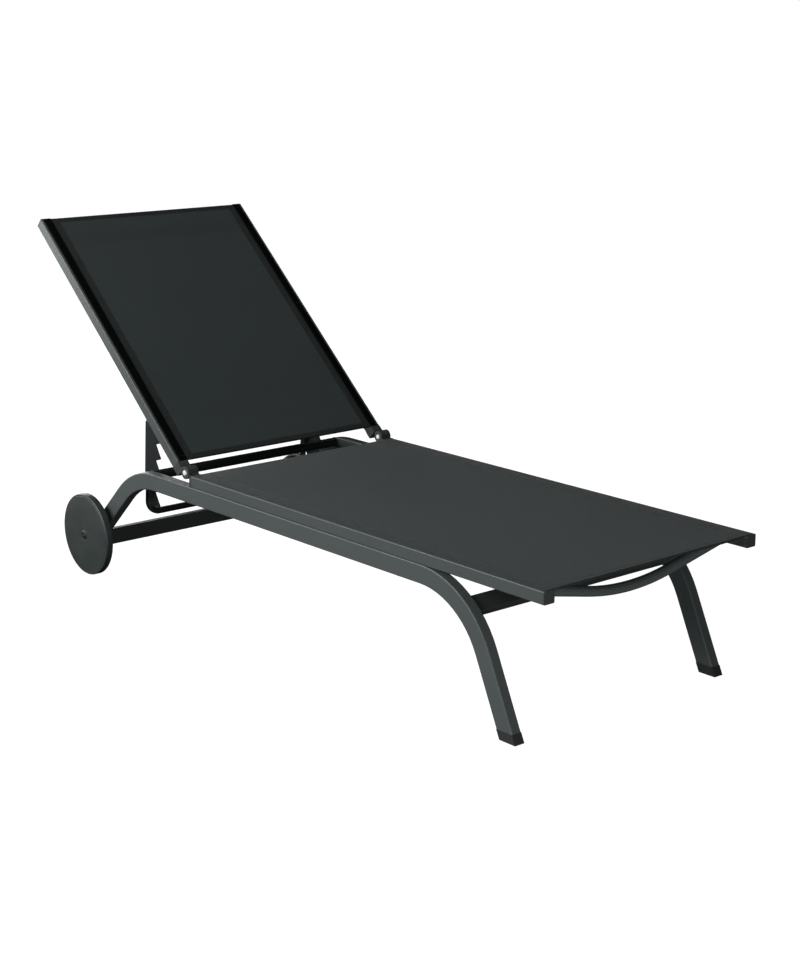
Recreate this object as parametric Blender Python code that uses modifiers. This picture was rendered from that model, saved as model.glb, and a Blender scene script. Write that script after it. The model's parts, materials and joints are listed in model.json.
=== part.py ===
"""Reclining sun lounger with a sling seat, a ratchet backrest and two transport wheels.

The foot end points along +X and +Z is up.  The origin is on the ground, under the middle of
the lounger.  The backrest and its prop are modelled lying flat and hanging straight, under
empties on their hinge axes, and the empties turn them to the stored pose.
"""
import math

import bmesh
import bpy
from mathutils import Matrix

# ---- driving dimensions, metres and degrees ------------------------------------------------
GAP = 0.0003                 # clearance between faces that touch on the real lounger
FRAME_WIDTH = 0.604          # over the outer faces of the side tubes and rails
DECK_TOP = 0.3235            # top of the seat rails above the ground
FOOT_REACH = 1.1666          # hinge axis to the foot end of the seat rails
BACK_REACH = 0.806           # hinge axis to the top end of the backrest rails
HINGE_HEIGHT = 0.327
RECLINE_DEG = 41.4           # backrest above the horizontal in the stored pose

RAIL_WIDE, RAIL_HIGH, RAIL_WALL = 0.028, 0.0265, 0.0018
KEDER_BORE, KEDER_SLOT = 0.0032, 0.0026      # groove radius and slot width
KEDER_INBOARD, KEDER_DEEP = 0.0073, 0.0050   # groove axis from a rail's outer and top faces
KEDER_RADIUS = 0.0024
TUBE_HIGH, TUBE_WIDE, TUBE_WALL = 0.040, 0.025, 0.0018
BAR_HIGH, BAR_DEEP, BAR_WALL = 0.040, 0.020, 0.0018

BEND_RADIUS = 0.200          # centreline radius of both side tube bends
FRONT_BEND_X, FRONT_BEND_DEG = 0.8203, 65.3  # measured from the hinge axis
REAR_BEND_X, REAR_BEND_DEG = -0.140, 43.3
REAR_LEG_LENGTH = 0.230      # straight tube behind the rear bend
SHOE_HIGH = 0.020

WHEEL_RADIUS, WHEEL_AXLE_X = 0.1015, -0.3964
WHEEL_OUTER_Y, WHEEL_INNER_Y = 0.342, 0.3082
RIM_DEEP, DISC_THICK, HUB_RADIUS = 0.018, 0.0032, 0.017
AXLE_RADIUS, HUB_BORE = 0.0058, 0.0062

CATCH_X, CATCH_Z, CATCH_RADIUS = -0.1775, 0.2830, 0.0115
REAR_BAR_X, REAR_BAR_Z = -0.425, 0.075
FRONT_BAR_DEG = 38.0         # place of the front crossbar round the front bend
BOW_X, BOW_LOW_Z, BOW_RADIUS = 1.100, 0.2585, 0.011
BOW_ARC_RADIUS, BOW_ARC_DEG = 0.560, 12.1
LEG_BOLT_X, LEG_BOLT_Z = 0.9622, 0.2121      # just below the front crossbar

KNUCKLE_RADIUS, BARREL_RADIUS, PIN_RADIUS = 0.0150, 0.0145, 0.0040
BARREL_INNER_Y = 0.2740      # inboard end of the hinge barrel
CHEEK_INNER_Y = 0.2900       # inboard face of the backrest's hinge cheek
SLING_THICK = 0.0016         # the slings lie over the rails, out to the keder grooves
SLING_HALF = 0.2930
SEAT_SLING_X, BACK_SLING_X = (0.0250, 1.1640), (-0.8038, -0.0372)
ROD_RADIUS = 0.0018          # stiffening rods in the slings' end hems

PROP_ALONG, PROP_BELOW = 0.2975, 0.024       # prop pivot from the hinge axis, backrest flat
PROP_LEAN_DEG = 4.5          # prop's lean from the vertical in the stored pose
PROP_Y, PROP_RADIUS, PROP_LENGTH, PROP_BEND = 0.2355, 0.008, 0.340, 0.031
TOOTH_FIRST, TOOTH_PITCH, TOOTH_COUNT = 0.1453, 0.0402, 5
TOOTH_TIP, TOOTH_ROOT, TOOTH_HOOK = 0.0665, 0.0440, 0.0090
PLATE_THICK = 0.0035

# ---- derived places ------------------------------------------------------------------------
LEAN = math.radians(RECLINE_DEG)
BACK_TOP = HINGE_HEIGHT - DECK_TOP           # hinge axis above the top face of a flat rail
TOP_REAR_X = -BACK_REACH * math.cos(LEAN) - (BACK_TOP + RAIL_HIGH) * math.sin(LEAN)
HINGE_X = -(FOOT_REACH + TOP_REAR_X) / 2.0   # centres the stored pose on the origin
OUTER_Y = FRAME_WIDTH / 2.0
RAIL_INNER_Y = OUTER_Y - RAIL_WIDE
TUBE_Y = OUTER_Y - TUBE_WIDE / 2.0
TUBE_INNER_Y = OUTER_Y - TUBE_WIDE
TUBE_Z = DECK_TOP - RAIL_HIGH - GAP - TUBE_HIGH / 2.0
KEDER_Y = OUTER_Y - KEDER_INBOARD
CAVITY_DROP = KEDER_DEEP + KEDER_BORE + RAIL_WALL     # wall under the groove, from the top face
SIDES = (("left", 1.0), ("right", -1.0))

PARTS = "sun_lounger"


# ---- scene helpers -------------------------------------------------------------------------
def clear_scene():
    for thing in list(bpy.data.objects):
        bpy.data.objects.remove(thing, do_unlink=True)


def collection(name):
    group = bpy.data.collections.new(name)
    bpy.context.scene.collection.children.link(group)
    return group


def material(name, colour, roughness, metallic=0.0):
    made = bpy.data.materials.new(name)
    made.use_nodes = True
    shader = made.node_tree.nodes["Principled BSDF"]
    shader.inputs["Base Color"].default_value = (*colour, 1.0)
    shader.inputs["Roughness"].default_value = roughness
    shader.inputs["Metallic"].default_value = metallic
    return made


FINISHES = {
    "coat": ((0.100, 0.115, 0.112), 0.45, 0.1),
    "casting": ((0.050, 0.058, 0.058), 0.50, 0.1),
    "steel": ((0.72, 0.73, 0.74), 0.28, 1.0),
    "zinc": ((0.020, 0.023, 0.024), 0.40, 0.5),
    "plastic": ((0.022, 0.025, 0.026), 0.55, 0.0),
    "wheel": ((0.055, 0.066, 0.064), 0.50, 0.0),
    "sling": ((0.040, 0.050, 0.049), 0.85, 0.0),
}


def keep(name, mesh, finish, place=None, parent=None):
    """A finished sub-part: its own object, its own material, cleaned and shaded."""
    edit = bmesh.new()
    edit.from_mesh(mesh)
    bmesh.ops.remove_doubles(edit, verts=edit.verts, dist=0.00001)
    bmesh.ops.recalc_face_normals(edit, faces=edit.faces)
    edit.to_mesh(mesh)
    edit.free()
    mesh.shade_smooth()
    mesh.set_sharp_from_angle(angle=math.radians(35))
    thing = bpy.data.objects.new(name, mesh)
    mesh.name = name
    mesh.materials.clear()
    mesh.materials.append(material(name, *FINISHES[finish]))
    bpy.data.collections[PARTS].objects.link(thing)
    thing.parent = parent
    if place is not None:
        thing.matrix_basis = place
    return thing


def baked(source):
    """The evaluated mesh of a construction object, which is then removed."""
    bpy.context.view_layer.update()
    graph = bpy.context.evaluated_depsgraph_get()
    mesh = bpy.data.meshes.new_from_object(source.evaluated_get(graph), depsgraph=graph)
    mesh.transform(source.matrix_world)
    bpy.data.objects.remove(source, do_unlink=True)
    return mesh


def loose_object(name, data):
    thing = bpy.data.objects.new(name, data)
    bpy.context.scene.collection.objects.link(thing)
    return thing


# ---- outlines and paths --------------------------------------------------------------------
def arc(centre, radius, start_deg, end_deg, steps):
    """Points of an arc in a plane, both ends included."""
    points = []
    for step in range(steps + 1):
        angle = math.radians(start_deg + (end_deg - start_deg) * step / steps)
        points.append((centre[0] + radius * math.cos(angle), centre[1] + radius * math.sin(angle)))
    return points


def rounded_box(wide, high, radius, centre=(0.0, 0.0), steps=2):
    """Rectangle with round corners, anticlockwise."""
    across, up = wide / 2.0 - radius, high / 2.0 - radius
    outline = []
    for turn, (side, level) in enumerate(((1, 1), (-1, 1), (-1, -1), (1, -1))):
        middle = (centre[0] + side * across, centre[1] + level * up)
        outline += arc(middle, radius, 90 * turn, 90 * turn + 90, steps)
    return outline


def circle(radius, centre=(0.0, 0.0), count=24):
    return arc(centre, radius, 0.0, 360.0 * (count - 1) / count, count - 1)


def add_spline(curve, points, closed):
    spline = curve.splines.new("POLY")
    spline.points.add(len(points) - 1)
    for knot, point in zip(spline.points, points):
        place = tuple(point) + (0.0,) * (3 - len(point))
        knot.co = (*place, 1.0)
    spline.use_cyclic_u = closed


def slab(outlines, thick):
    """Flat outline with holes, extruded to a thickness centred on its own plane."""
    curve = bpy.data.curves.new("outline", "CURVE")
    curve.dimensions = "2D"
    curve.fill_mode = "BOTH"
    curve.extrude = thick / 2.0
    for outline in outlines:
        add_spline(curve, outline, True)
    mesh = baked(loose_object("outline", curve))
    weld(mesh)
    return mesh


def weld(mesh):
    edit = bmesh.new()
    edit.from_mesh(mesh)
    bmesh.ops.remove_doubles(edit, verts=edit.verts, dist=0.00001)
    edit.to_mesh(mesh)
    edit.free()


def upright(mesh):
    """Turns a slab drawn as (x, z) so that its thickness lies along Y."""
    mesh.transform(Matrix.Rotation(math.radians(90), 4, "X"))
    return mesh


def along_x(mesh):
    """Turns a slab drawn as (y, z) so that its thickness lies along X."""
    mesh.transform(Matrix(((0, 0, 1, 0), (1, 0, 0, 0), (0, 1, 0, 0), (0, 0, 0, 1))))
    return mesh


def hollow_sweep(path, outline, wall):
    """A tube with an outline swept along a path, hollow and open at its ends."""
    profile = bpy.data.curves.new("profile", "CURVE")
    profile.dimensions = "2D"
    add_spline(profile, outline, True)
    profile_object = loose_object("profile", profile)
    curve = bpy.data.curves.new("path", "CURVE")
    curve.dimensions = "3D"
    curve.twist_mode = "Z_UP"
    curve.bevel_mode = "OBJECT"
    curve.bevel_object = profile_object
    add_spline(curve, path, False)
    skin = baked(loose_object("path", curve))
    bpy.data.objects.remove(profile_object, do_unlink=True)
    return thicken(skin, wall)


def thicken(skin, wall):
    """Gives an open skin a wall on its inner side."""
    edit = bmesh.new()
    edit.from_mesh(skin)
    bmesh.ops.remove_doubles(edit, verts=edit.verts, dist=0.00001)
    bmesh.ops.recalc_face_normals(edit, faces=edit.faces)
    edit.to_mesh(skin)
    edit.free()
    body = loose_object("skin", skin)
    shell = body.modifiers.new("wall", "SOLIDIFY")
    shell.thickness = wall
    shell.offset = -1.0
    shell.use_even_offset = True
    shell.use_rim = True
    return baked(body)


def round_tube(path, radius, wall, resolution=4):
    """Hollow round tube along a path, open at its ends."""
    curve = bpy.data.curves.new("path", "CURVE")
    curve.dimensions = "3D"
    curve.twist_mode = "MINIMUM"
    curve.bevel_depth = radius
    curve.bevel_resolution = resolution
    add_spline(curve, path, False)
    return thicken(baked(loose_object("path", curve)), wall)


def turned(profile, steps=24):
    """A closed (radius, height) profile turned round the Z axis."""
    edit = bmesh.new()
    ring = [edit.verts.new((radius, 0.0, height)) for radius, height in profile]
    for first, second in zip(ring, ring[1:] + ring[:1]):
        edit.edges.new((first, second))
    mesh = bpy.data.meshes.new("profile")
    edit.to_mesh(mesh)
    edit.free()
    body = loose_object("profile", mesh)
    screw = body.modifiers.new("turn", "SCREW")
    screw.steps = steps
    screw.render_steps = steps
    screw.use_merge_vertices = True
    screw.merge_threshold = 0.00001
    return baked(body)


def joined(first, second, operation="UNION"):
    """Boolean of two meshes."""
    body = loose_object("body", first)
    tool = loose_object("tool", second)
    cut = body.modifiers.new("cut", "BOOLEAN")
    cut.operation = operation
    cut.object = tool
    mesh = baked(body)
    bpy.data.objects.remove(tool, do_unlink=True)
    return mesh


def fixed_normals(mesh):
    edit = bmesh.new()
    edit.from_mesh(mesh)
    bmesh.ops.remove_doubles(edit, verts=edit.verts, dist=0.00001)
    bmesh.ops.recalc_face_normals(edit, faces=edit.faces)
    edit.to_mesh(mesh)
    edit.free()
    return mesh


def box(low, high):
    mesh = bpy.data.meshes.new("box")
    edit = bmesh.new()
    bmesh.ops.create_cube(edit, size=1.0)
    size = [b - a for a, b in zip(low, high)]
    middle = [(a + b) / 2.0 for a, b in zip(low, high)]
    bmesh.ops.scale(edit, vec=size, verts=edit.verts)
    bmesh.ops.translate(edit, vec=middle, verts=edit.verts)
    edit.to_mesh(mesh)
    edit.free()
    return mesh


def shifted(mesh, x=0.0, y=0.0, z=0.0):
    mesh.transform(Matrix.Translation((x, y, z)))
    return mesh


def for_side(mesh, side):
    """A copy of a mesh made for the left side, mirrored in Y for the right side."""
    copy = mesh.copy()
    copy.transform(Matrix.Scale(side, 4, (0.0, 1.0, 0.0)))
    return fixed_normals(copy)


def spindle(axis_y, outward, profile, steps=24):
    """Turned piece whose profile height runs along Y, outboard from axis_y."""
    mesh = turned(profile, steps)
    turn = Matrix.Rotation(math.radians(-90 * outward), 4, "X")
    mesh.transform(turn)
    mesh.transform(Matrix.Translation((0.0, axis_y, 0.0)))
    return mesh


# ---- shared sections -----------------------------------------------------------------------
def rail_section(side):
    """Rail extrusion in (y, z) about its centre, with the keder groove in the top face."""
    half_wide, half_high = RAIL_WIDE / 2.0, RAIL_HIGH / 2.0
    groove_y, groove_z = KEDER_INBOARD - half_wide, half_high - KEDER_DEEP
    mouth = math.degrees(math.asin(KEDER_SLOT / 2.0 / KEDER_BORE))
    corner = 0.0022
    outer = [(groove_y - KEDER_SLOT / 2.0, half_high)]
    for turn, (across, level) in ((1, (-1, 1)), (2, (-1, -1)), (3, (1, -1)), (4, (1, 1))):
        middle = (across * (half_wide - corner), level * (half_high - corner))
        outer += arc(middle, corner, 90 * turn, 90 * turn + 90, 2)
    outer += [(groove_y + KEDER_SLOT / 2.0, half_high)]
    outer += arc((groove_y, groove_z), KEDER_BORE, 90.0 - mouth, mouth - 270.0, 10)
    deep = groove_y + KEDER_BORE + RAIL_WALL
    shelf = half_high - CAVITY_DROP
    left, right = -half_wide + RAIL_WALL, half_wide - RAIL_WALL
    low, high = -half_high + RAIL_WALL, half_high - RAIL_WALL
    cavity = [(left, low), (right, low), (right, high), (deep, high), (deep, shelf), (left, shelf)]
    return [[(-side * y, z) for y, z in outline] for outline in (outer, cavity)]


def bar_section(high, deep, wall):
    return [rounded_box(deep, high, 0.003),
            rounded_box(deep - 2 * wall, high - 2 * wall, 0.0012)]


def rod(length, radius=ROD_RADIUS):
    """Solid round rod along Y, centred."""
    return spindle(0.0, 1.0, [(0.0, -length / 2.0), (radius, -length / 2.0),
                              (radius, length / 2.0), (0.0, length / 2.0)], 16)


# ---- base frame ----------------------------------------------------------------------------
def side_tube_path():
    """Centreline of a side tube in (x from hinge, z): foot, bend, rail, bend, wheel end."""
    front = math.radians(FRONT_BEND_DEG)
    rear = math.radians(REAR_BEND_DEG)
    low = TUBE_Z - BEND_RADIUS
    front_arc = arc((FRONT_BEND_X, low), BEND_RADIUS, 90.0 - FRONT_BEND_DEG, 90.0, 12)
    rear_arc = arc((REAR_BEND_X, low), BEND_RADIUS, 90.0, 90.0 + REAR_BEND_DEG, 9)
    knee = front_arc[0]
    run = (knee[1] + 0.03) / math.sin(front)
    foot = (knee[0] + run * math.cos(front), knee[1] - run * math.sin(front))
    hock = rear_arc[-1]
    heel = (hock[0] - REAR_LEG_LENGTH * math.cos(rear), hock[1] - REAR_LEG_LENGTH * math.sin(rear))
    return [foot] + front_arc + rear_arc + [heel]


def leg_x(z):
    """Centre of the front leg at a height, measured from the hinge axis."""
    front = math.radians(FRONT_BEND_DEG)
    knee_x = FRONT_BEND_X + BEND_RADIUS * math.sin(front)
    knee_z = TUBE_Z - BEND_RADIUS * (1.0 - math.cos(front))
    return knee_x + (knee_z - z) / math.tan(front)


def make_side_tubes(origin):
    path = [(x, 0.0, z) for x, z in side_tube_path()]
    outline = rounded_box(TUBE_WIDE, TUBE_HIGH, 0.0025)
    for name, side in SIDES:
        mesh = fixed_normals(hollow_sweep(path, outline, TUBE_WALL))
        mesh = joined(mesh, box((0.9, -0.1, -0.2), (1.4, 0.1, SHOE_HIGH)), "DIFFERENCE")
        hole = fixed_normals(spindle(0.0, 1.0, [(0.0, -0.03), (AXLE_RADIUS + GAP, -0.03),
                                                (AXLE_RADIUS + GAP, 0.03), (0.0, 0.03)], 24))
        mesh = joined(mesh, shifted(hole, WHEEL_AXLE_X, 0.0, WHEEL_RADIUS), "DIFFERENCE")
        keep("side_tube_" + name, mesh, "coat", Matrix.Translation((0, side * TUBE_Y, 0)), origin)


def make_shoes(origin):
    """Plastic shoes under the front legs: a block the tube stands on and a plug inside it."""
    front = math.radians(FRONT_BEND_DEG)
    half = TUBE_HIGH / 2.0 / math.sin(front)
    shear = 1.0 / math.tan(front)
    top, low = SHOE_HIGH - GAP, 0.0
    plug_top, inset = SHOE_HIGH + 0.016, TUBE_WALL / math.sin(front) + 0.0014
    corners = [(-half, low), (half, low), (half, top), (half - inset, top),
               (half - inset, plug_top), (-half + inset, plug_top), (-half + inset, top), (-half, top)]
    outline = [(leg_x(0.0) + x - z * shear, z) for x, z in corners]
    for name, side in SIDES:
        wide = fixed_normals(upright(slab([outline[:3] + outline[7:]], TUBE_WIDE)))
        plug = fixed_normals(upright(slab([[outline[0], outline[1], outline[3], outline[4],
                                            outline[5], outline[6]]],
                                          TUBE_WIDE - 2 * TUBE_WALL - 0.0020)))
        mesh = joined(wide, plug)
        keep("foot_shoe_" + name, mesh, "plastic", Matrix.Translation((0, side * TUBE_Y, 0)), origin)


def make_tube_plugs(origin):
    """Plastic plugs in the wheel ends of the side tubes."""
    heel = side_tube_path()[-1]
    slope = Matrix.Rotation(math.radians(-REAR_BEND_DEG), 4, "Y")
    for name, side in SIDES:
        flange = box((-0.003 - GAP, -TUBE_WIDE / 2.0, -TUBE_HIGH / 2.0),
                     (-GAP, TUBE_WIDE / 2.0, TUBE_HIGH / 2.0))
        inset = TUBE_WALL + 3 * GAP
        core = box((-0.002, -TUBE_WIDE / 2.0 + inset, -TUBE_HIGH / 2.0 + inset),
                   (0.014, TUBE_WIDE / 2.0 - inset, TUBE_HIGH / 2.0 - inset))
        mesh = joined(flange, core)
        place = Matrix.Translation((heel[0], side * TUBE_Y, heel[1])) @ slope
        keep("tube_plug_" + name, mesh, "plastic", place, origin)


def make_crossbars(origin):
    length = 2.0 * (TUBE_INNER_Y - GAP)
    round_bend = math.radians(FRONT_BAR_DEG)
    front_x = FRONT_BEND_X + BEND_RADIUS * math.sin(round_bend)
    front_z = TUBE_Z - BEND_RADIUS * (1.0 - math.cos(round_bend))
    flat_on_bend = Matrix.Rotation(round_bend + math.radians(90), 4, "Y")
    section = bar_section(BAR_HIGH, BAR_DEEP, BAR_WALL)
    keep("front_crossbar", upright(slab(section, length)), "coat",
         Matrix.Translation((front_x, 0, front_z)) @ flat_on_bend, origin)
    keep("rear_crossbar", upright(slab(section, length)), "coat",
         Matrix.Translation((REAR_BAR_X, 0, REAR_BAR_Z)), origin)
    pipe = [circle(CATCH_RADIUS), circle(CATCH_RADIUS - 0.002)]
    keep("catch_bar", upright(slab(pipe, length)), "zinc",
         Matrix.Translation((CATCH_X, 0, CATCH_Z)), origin)


def make_seat_rails(origin):
    start, cap = 0.0245, 0.003
    length = FOOT_REACH - cap - GAP - start
    for name, side in SIDES:
        centre_y = side * (OUTER_Y - RAIL_WIDE / 2.0)
        centre_z = DECK_TOP - RAIL_HIGH / 2.0
        mesh = along_x(slab(rail_section(side), length))
        keep("seat_rail_" + name, mesh, "coat",
             Matrix.Translation((start + length / 2.0, centre_y, centre_z)), origin)
        place = Matrix.Translation((FOOT_REACH, centre_y, centre_z))
        keep("seat_rail_cap_" + name, rail_cap(1.0, side), "plastic", place, origin)


def rail_cap(direction, side):
    """End cap of a rail: a flange of the rail's outline and a plug in its cavity."""
    flange = fixed_normals(along_x(slab([rounded_box(RAIL_WIDE, RAIL_HIGH, 0.0022)], 0.003)))
    shifted(flange, x=-direction * 0.0015)
    reach = 0.016
    inset = RAIL_WALL + GAP
    shelf = RAIL_HIGH / 2.0 - CAVITY_DROP
    half = RAIL_WIDE / 2.0 - inset
    near, far = sorted((-direction * 0.002, -direction * reach))
    core = box((near, -half, -RAIL_HIGH / 2.0 + inset), (far, half, shelf - GAP))
    return joined(flange, core)


def make_foot_bow(origin):
    """Round tube that bows down between the seat rails at the foot end."""
    swing = math.radians(BOW_ARC_DEG)
    centre_z = BOW_LOW_Z + BOW_ARC_RADIUS
    middle = arc((0.0, centre_z), BOW_ARC_RADIUS, 270.0 - BOW_ARC_DEG, 270.0 + BOW_ARC_DEG, 16)
    end_y = RAIL_INNER_Y - BOW_RADIUS * math.sin(swing) - 0.0006
    end_z = middle[-1][1] + (end_y - middle[-1][0]) * math.tan(swing)
    path = [(0.0, -end_y, end_z)] + [(0.0, y, z) for y, z in middle] + [(0.0, end_y, end_z)]
    mesh = round_tube(path, BOW_RADIUS, 0.0015)
    keep("foot_bow", mesh, "coat", Matrix.Translation((BOW_X, 0, 0)), origin)


def sling_slab(ends, rail_top):
    """Plain slab that stands for a sling, lying on the rails."""
    low = rail_top + GAP
    return box((ends[0], -SLING_HALF, low), (ends[1], SLING_HALF, low + SLING_THICK))


def make_seat_sling(origin):
    """Seat sling with the rods in its end hems and the keder cords that hold its sides."""
    keep("seat_sling", sling_slab(SEAT_SLING_X, DECK_TOP), "sling", None, origin)
    for name, x in (("head", SEAT_SLING_X[0] + ROD_RADIUS), ("foot", SEAT_SLING_X[1] - ROD_RADIUS)):
        keep("seat_rod_" + name, rod(2.0 * (RAIL_INNER_Y - 0.0006)), "zinc",
             Matrix.Translation((x, 0, DECK_TOP - ROD_RADIUS)), origin)
    start, end = 0.030, 1.150
    for name, side in SIDES:
        mesh = along_x(slab([circle(KEDER_RADIUS, count=12)], end - start))
        keep("seat_keder_" + name, mesh, "plastic",
             Matrix.Translation(((end + start) / 2.0, side * KEDER_Y, DECK_TOP - KEDER_DEEP)), origin)


def make_frame_bolts(origin):
    """Screws that hold the seat rails down on the side tubes, and the bolts in the front legs."""
    button = [(0.0, 0.0), (0.0062, 0.0), (0.0056, 0.0022), (0.0034, 0.0034), (0.0, 0.0036)]
    under = TUBE_Z - TUBE_HIGH / 2.0
    for name, side in SIDES:
        for place, x in (("front", 0.745), ("rear", 0.085)):
            mesh = turned(button, 16)
            mesh.transform(Matrix.Rotation(math.radians(180), 4, "X"))
            keep("rail_screw_" + place + "_" + name, mesh, "steel",
                 Matrix.Translation((x, side * TUBE_Y, under - GAP)), origin)
        head = spindle(0.0, -side, [(0.0, 0.0), (0.0075, 0.0), (0.0075, 0.0030), (0.0052, 0.0052),
                                    (0.0, 0.0056)], 6)
        keep("leg_bolt_" + name, head, "steel",
             Matrix.Translation((LEG_BOLT_X, side * (TUBE_INNER_Y - GAP), LEG_BOLT_Z)), origin)


# ---- hinges --------------------------------------------------------------------------------
def make_hinge_bases(origin):
    """Castings in the head ends of the seat rails, each with the barrel of a hinge."""
    top = DECK_TOP - HINGE_HEIGHT
    low = top - RAIL_HIGH
    face, seat = 0.0170, 0.0242
    web = [(face, low), (0.004, low), (0.0055, -0.0075), (0.0075, 0.0020), (0.0090, 0.0050),
           (face, top)]
    bore = circle(PIN_RADIUS + GAP, count=16)
    barrel_inner = BARREL_INNER_Y
    barrel_outer = CHEEK_INNER_Y - GAP
    block = [(face - 0.001, low), (seat, low), (seat, top), (face - 0.001, top)]
    inset = RAIL_WALL + GAP
    shelf = top - CAVITY_DROP - GAP
    barrel = fixed_normals(upright(slab([circle(BARREL_RADIUS), bore], barrel_outer - barrel_inner)))
    shifted(barrel, y=(barrel_outer + barrel_inner) / 2.0)
    neck = fixed_normals(upright(slab([web], barrel_outer - RAIL_INNER_Y)))
    shifted(neck, y=(barrel_outer + RAIL_INNER_Y) / 2.0)
    body = fixed_normals(upright(slab([block], RAIL_WIDE)))
    shifted(body, y=OUTER_Y - RAIL_WIDE / 2.0)
    plug = box((seat - 0.001, RAIL_INNER_Y + inset, low + inset), (seat + 0.030, OUTER_Y - inset, shelf))
    casting = joined(joined(body, joined(neck, barrel)), plug)
    for name, side in SIDES:
        keep("hinge_base_" + name, for_side(casting, side), "casting",
             Matrix.Translation((0, 0, HINGE_HEIGHT)), origin)


def make_hinge_pins(origin):
    """Hinge pins with a domed head outboard and a riveted end inboard."""
    for name, side in SIDES:
        start = BARREL_INNER_Y - GAP
        length = OUTER_Y - start
        profile = [(0.0, -0.0030), (0.0052, -0.0022), (0.0062, 0.0), (PIN_RADIUS, 0.0),
                   (PIN_RADIUS, length + GAP), (0.0066, length + GAP), (0.0056, length + 0.0024),
                   (0.0, length + 0.0034)]
        mesh = spindle(side * start, side, profile, 24)
        keep("hinge_pin_" + name, mesh, "steel", Matrix.Translation((0, 0, HINGE_HEIGHT)), origin)


def make_hinge_arms(back):
    """Castings in the lower ends of the backrest rails, each with the cheek of a hinge."""
    top = -BACK_TOP
    low = top - RAIL_HIGH
    seat, clear = -0.0365, -0.0185
    cheek = [(seat, low), (-0.014, low)] + arc((0, 0), KNUCKLE_RADIUS, 225.0, 500.0, 24)
    cheek += [(clear, top), (seat, top)]
    bore = circle(PIN_RADIUS + GAP, count=16)
    inner = [(seat, low), (clear, low), (clear, top), (seat, top)]
    inset = RAIL_WALL + GAP
    shelf = top - CAVITY_DROP - GAP
    plate = fixed_normals(upright(slab([cheek, bore], OUTER_Y - CHEEK_INNER_Y)))
    shifted(plate, y=(OUTER_Y + CHEEK_INNER_Y) / 2.0)
    block = fixed_normals(upright(slab([inner], CHEEK_INNER_Y - RAIL_INNER_Y + 0.002)))
    shifted(block, y=(CHEEK_INNER_Y + RAIL_INNER_Y + 0.002) / 2.0)
    plug = box((seat - 0.030, RAIL_INNER_Y + inset, low + inset), (seat + 0.001, OUTER_Y - inset, shelf))
    casting = joined(joined(plate, block), plug)
    for name, side in SIDES:
        keep("hinge_arm_" + name, for_side(casting, side), "casting", None, back)


# ---- backrest ------------------------------------------------------------------------------
def make_back_rails(back):
    start, cap = 0.0368, 0.003
    length = BACK_REACH - cap - GAP - start
    centre_z = -BACK_TOP - RAIL_HIGH / 2.0
    for name, side in SIDES:
        centre_y = side * (OUTER_Y - RAIL_WIDE / 2.0)
        mesh = along_x(slab(rail_section(side), length))
        keep("back_rail_" + name, mesh, "coat",
             Matrix.Translation((-start - length / 2.0, centre_y, centre_z)), back)
        keep("back_rail_cap_" + name, rail_cap(-1.0, side), "plastic",
             Matrix.Translation((-BACK_REACH, centre_y, centre_z)), back)


def make_back_bars(back):
    """Stiffening tube behind the sling near the top, and the rods in the sling's end hems."""
    pipe = [circle(0.009), circle(0.0075)]
    length = 2.0 * (RAIL_INNER_Y - GAP)
    keep("back_stretcher", upright(slab(pipe, length)), "coat",
         Matrix.Translation((-0.740, 0, -BACK_TOP - RAIL_HIGH + 0.009)), back)
    for name, x in (("top", BACK_SLING_X[0] + ROD_RADIUS), ("lower", BACK_SLING_X[1] - ROD_RADIUS)):
        keep("back_rod_" + name, rod(2.0 * (RAIL_INNER_Y - 0.0006)), "zinc",
             Matrix.Translation((x, 0, -BACK_TOP - ROD_RADIUS)), back)


def make_back_sling(back):
    keep("back_sling", sling_slab(BACK_SLING_X, -BACK_TOP), "sling", None, back)
    start, end = -0.0400, -0.7950
    for name, side in SIDES:
        mesh = along_x(slab([circle(KEDER_RADIUS, count=12)], start - end))
        keep("back_keder_" + name, mesh, "plastic",
             Matrix.Translation(((start + end) / 2.0, side * KEDER_Y, -BACK_TOP - KEDER_DEEP)), back)


def make_prop_mounts(back):
    """Brackets on the backrest rails that carry the prop, with their bushes and pivot bolts."""
    place = Matrix.Translation((-PROP_ALONG, 0, -PROP_BELOW))
    thick = 0.003
    ear = arc((0, 0), 0.013, 200.0, 340.0, 10) + [(0.026, 0.002), (0.026, 0.0105), (-0.026, 0.0105),
                                                  (-0.026, 0.002)]
    bore = circle(PIN_RADIUS + GAP, count=16)
    arm_outer = PROP_Y + PROP_RADIUS
    for name, side in SIDES:
        plate = fixed_normals(upright(slab([ear, bore], thick)))
        shifted(plate, y=side * (RAIL_INNER_Y - GAP - thick / 2.0))
        keep("prop_bracket_" + name, plate, "coat", place, back)
        far = RAIL_INNER_Y - GAP - thick - GAP
        near = arm_outer + GAP
        bush = spindle(side * near, side, [(PIN_RADIUS + GAP, 0.0), (0.0078, 0.0),
                                           (0.0078, far - near), (PIN_RADIUS + GAP, far - near)], 20)
        keep("prop_bush_" + name, bush, "plastic", place, back)
        inner = PROP_Y - PROP_RADIUS - GAP
        reach = RAIL_INNER_Y - 0.0006 - inner
        bolt = spindle(side * inner, side, [(0.0, -0.0042), (0.0056, -0.0030), (0.0064, 0.0),
                                            (PIN_RADIUS, 0.0), (PIN_RADIUS, reach), (0.0, reach)], 20)
        keep("prop_bolt_" + name, bolt, "steel", place, back)


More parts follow.
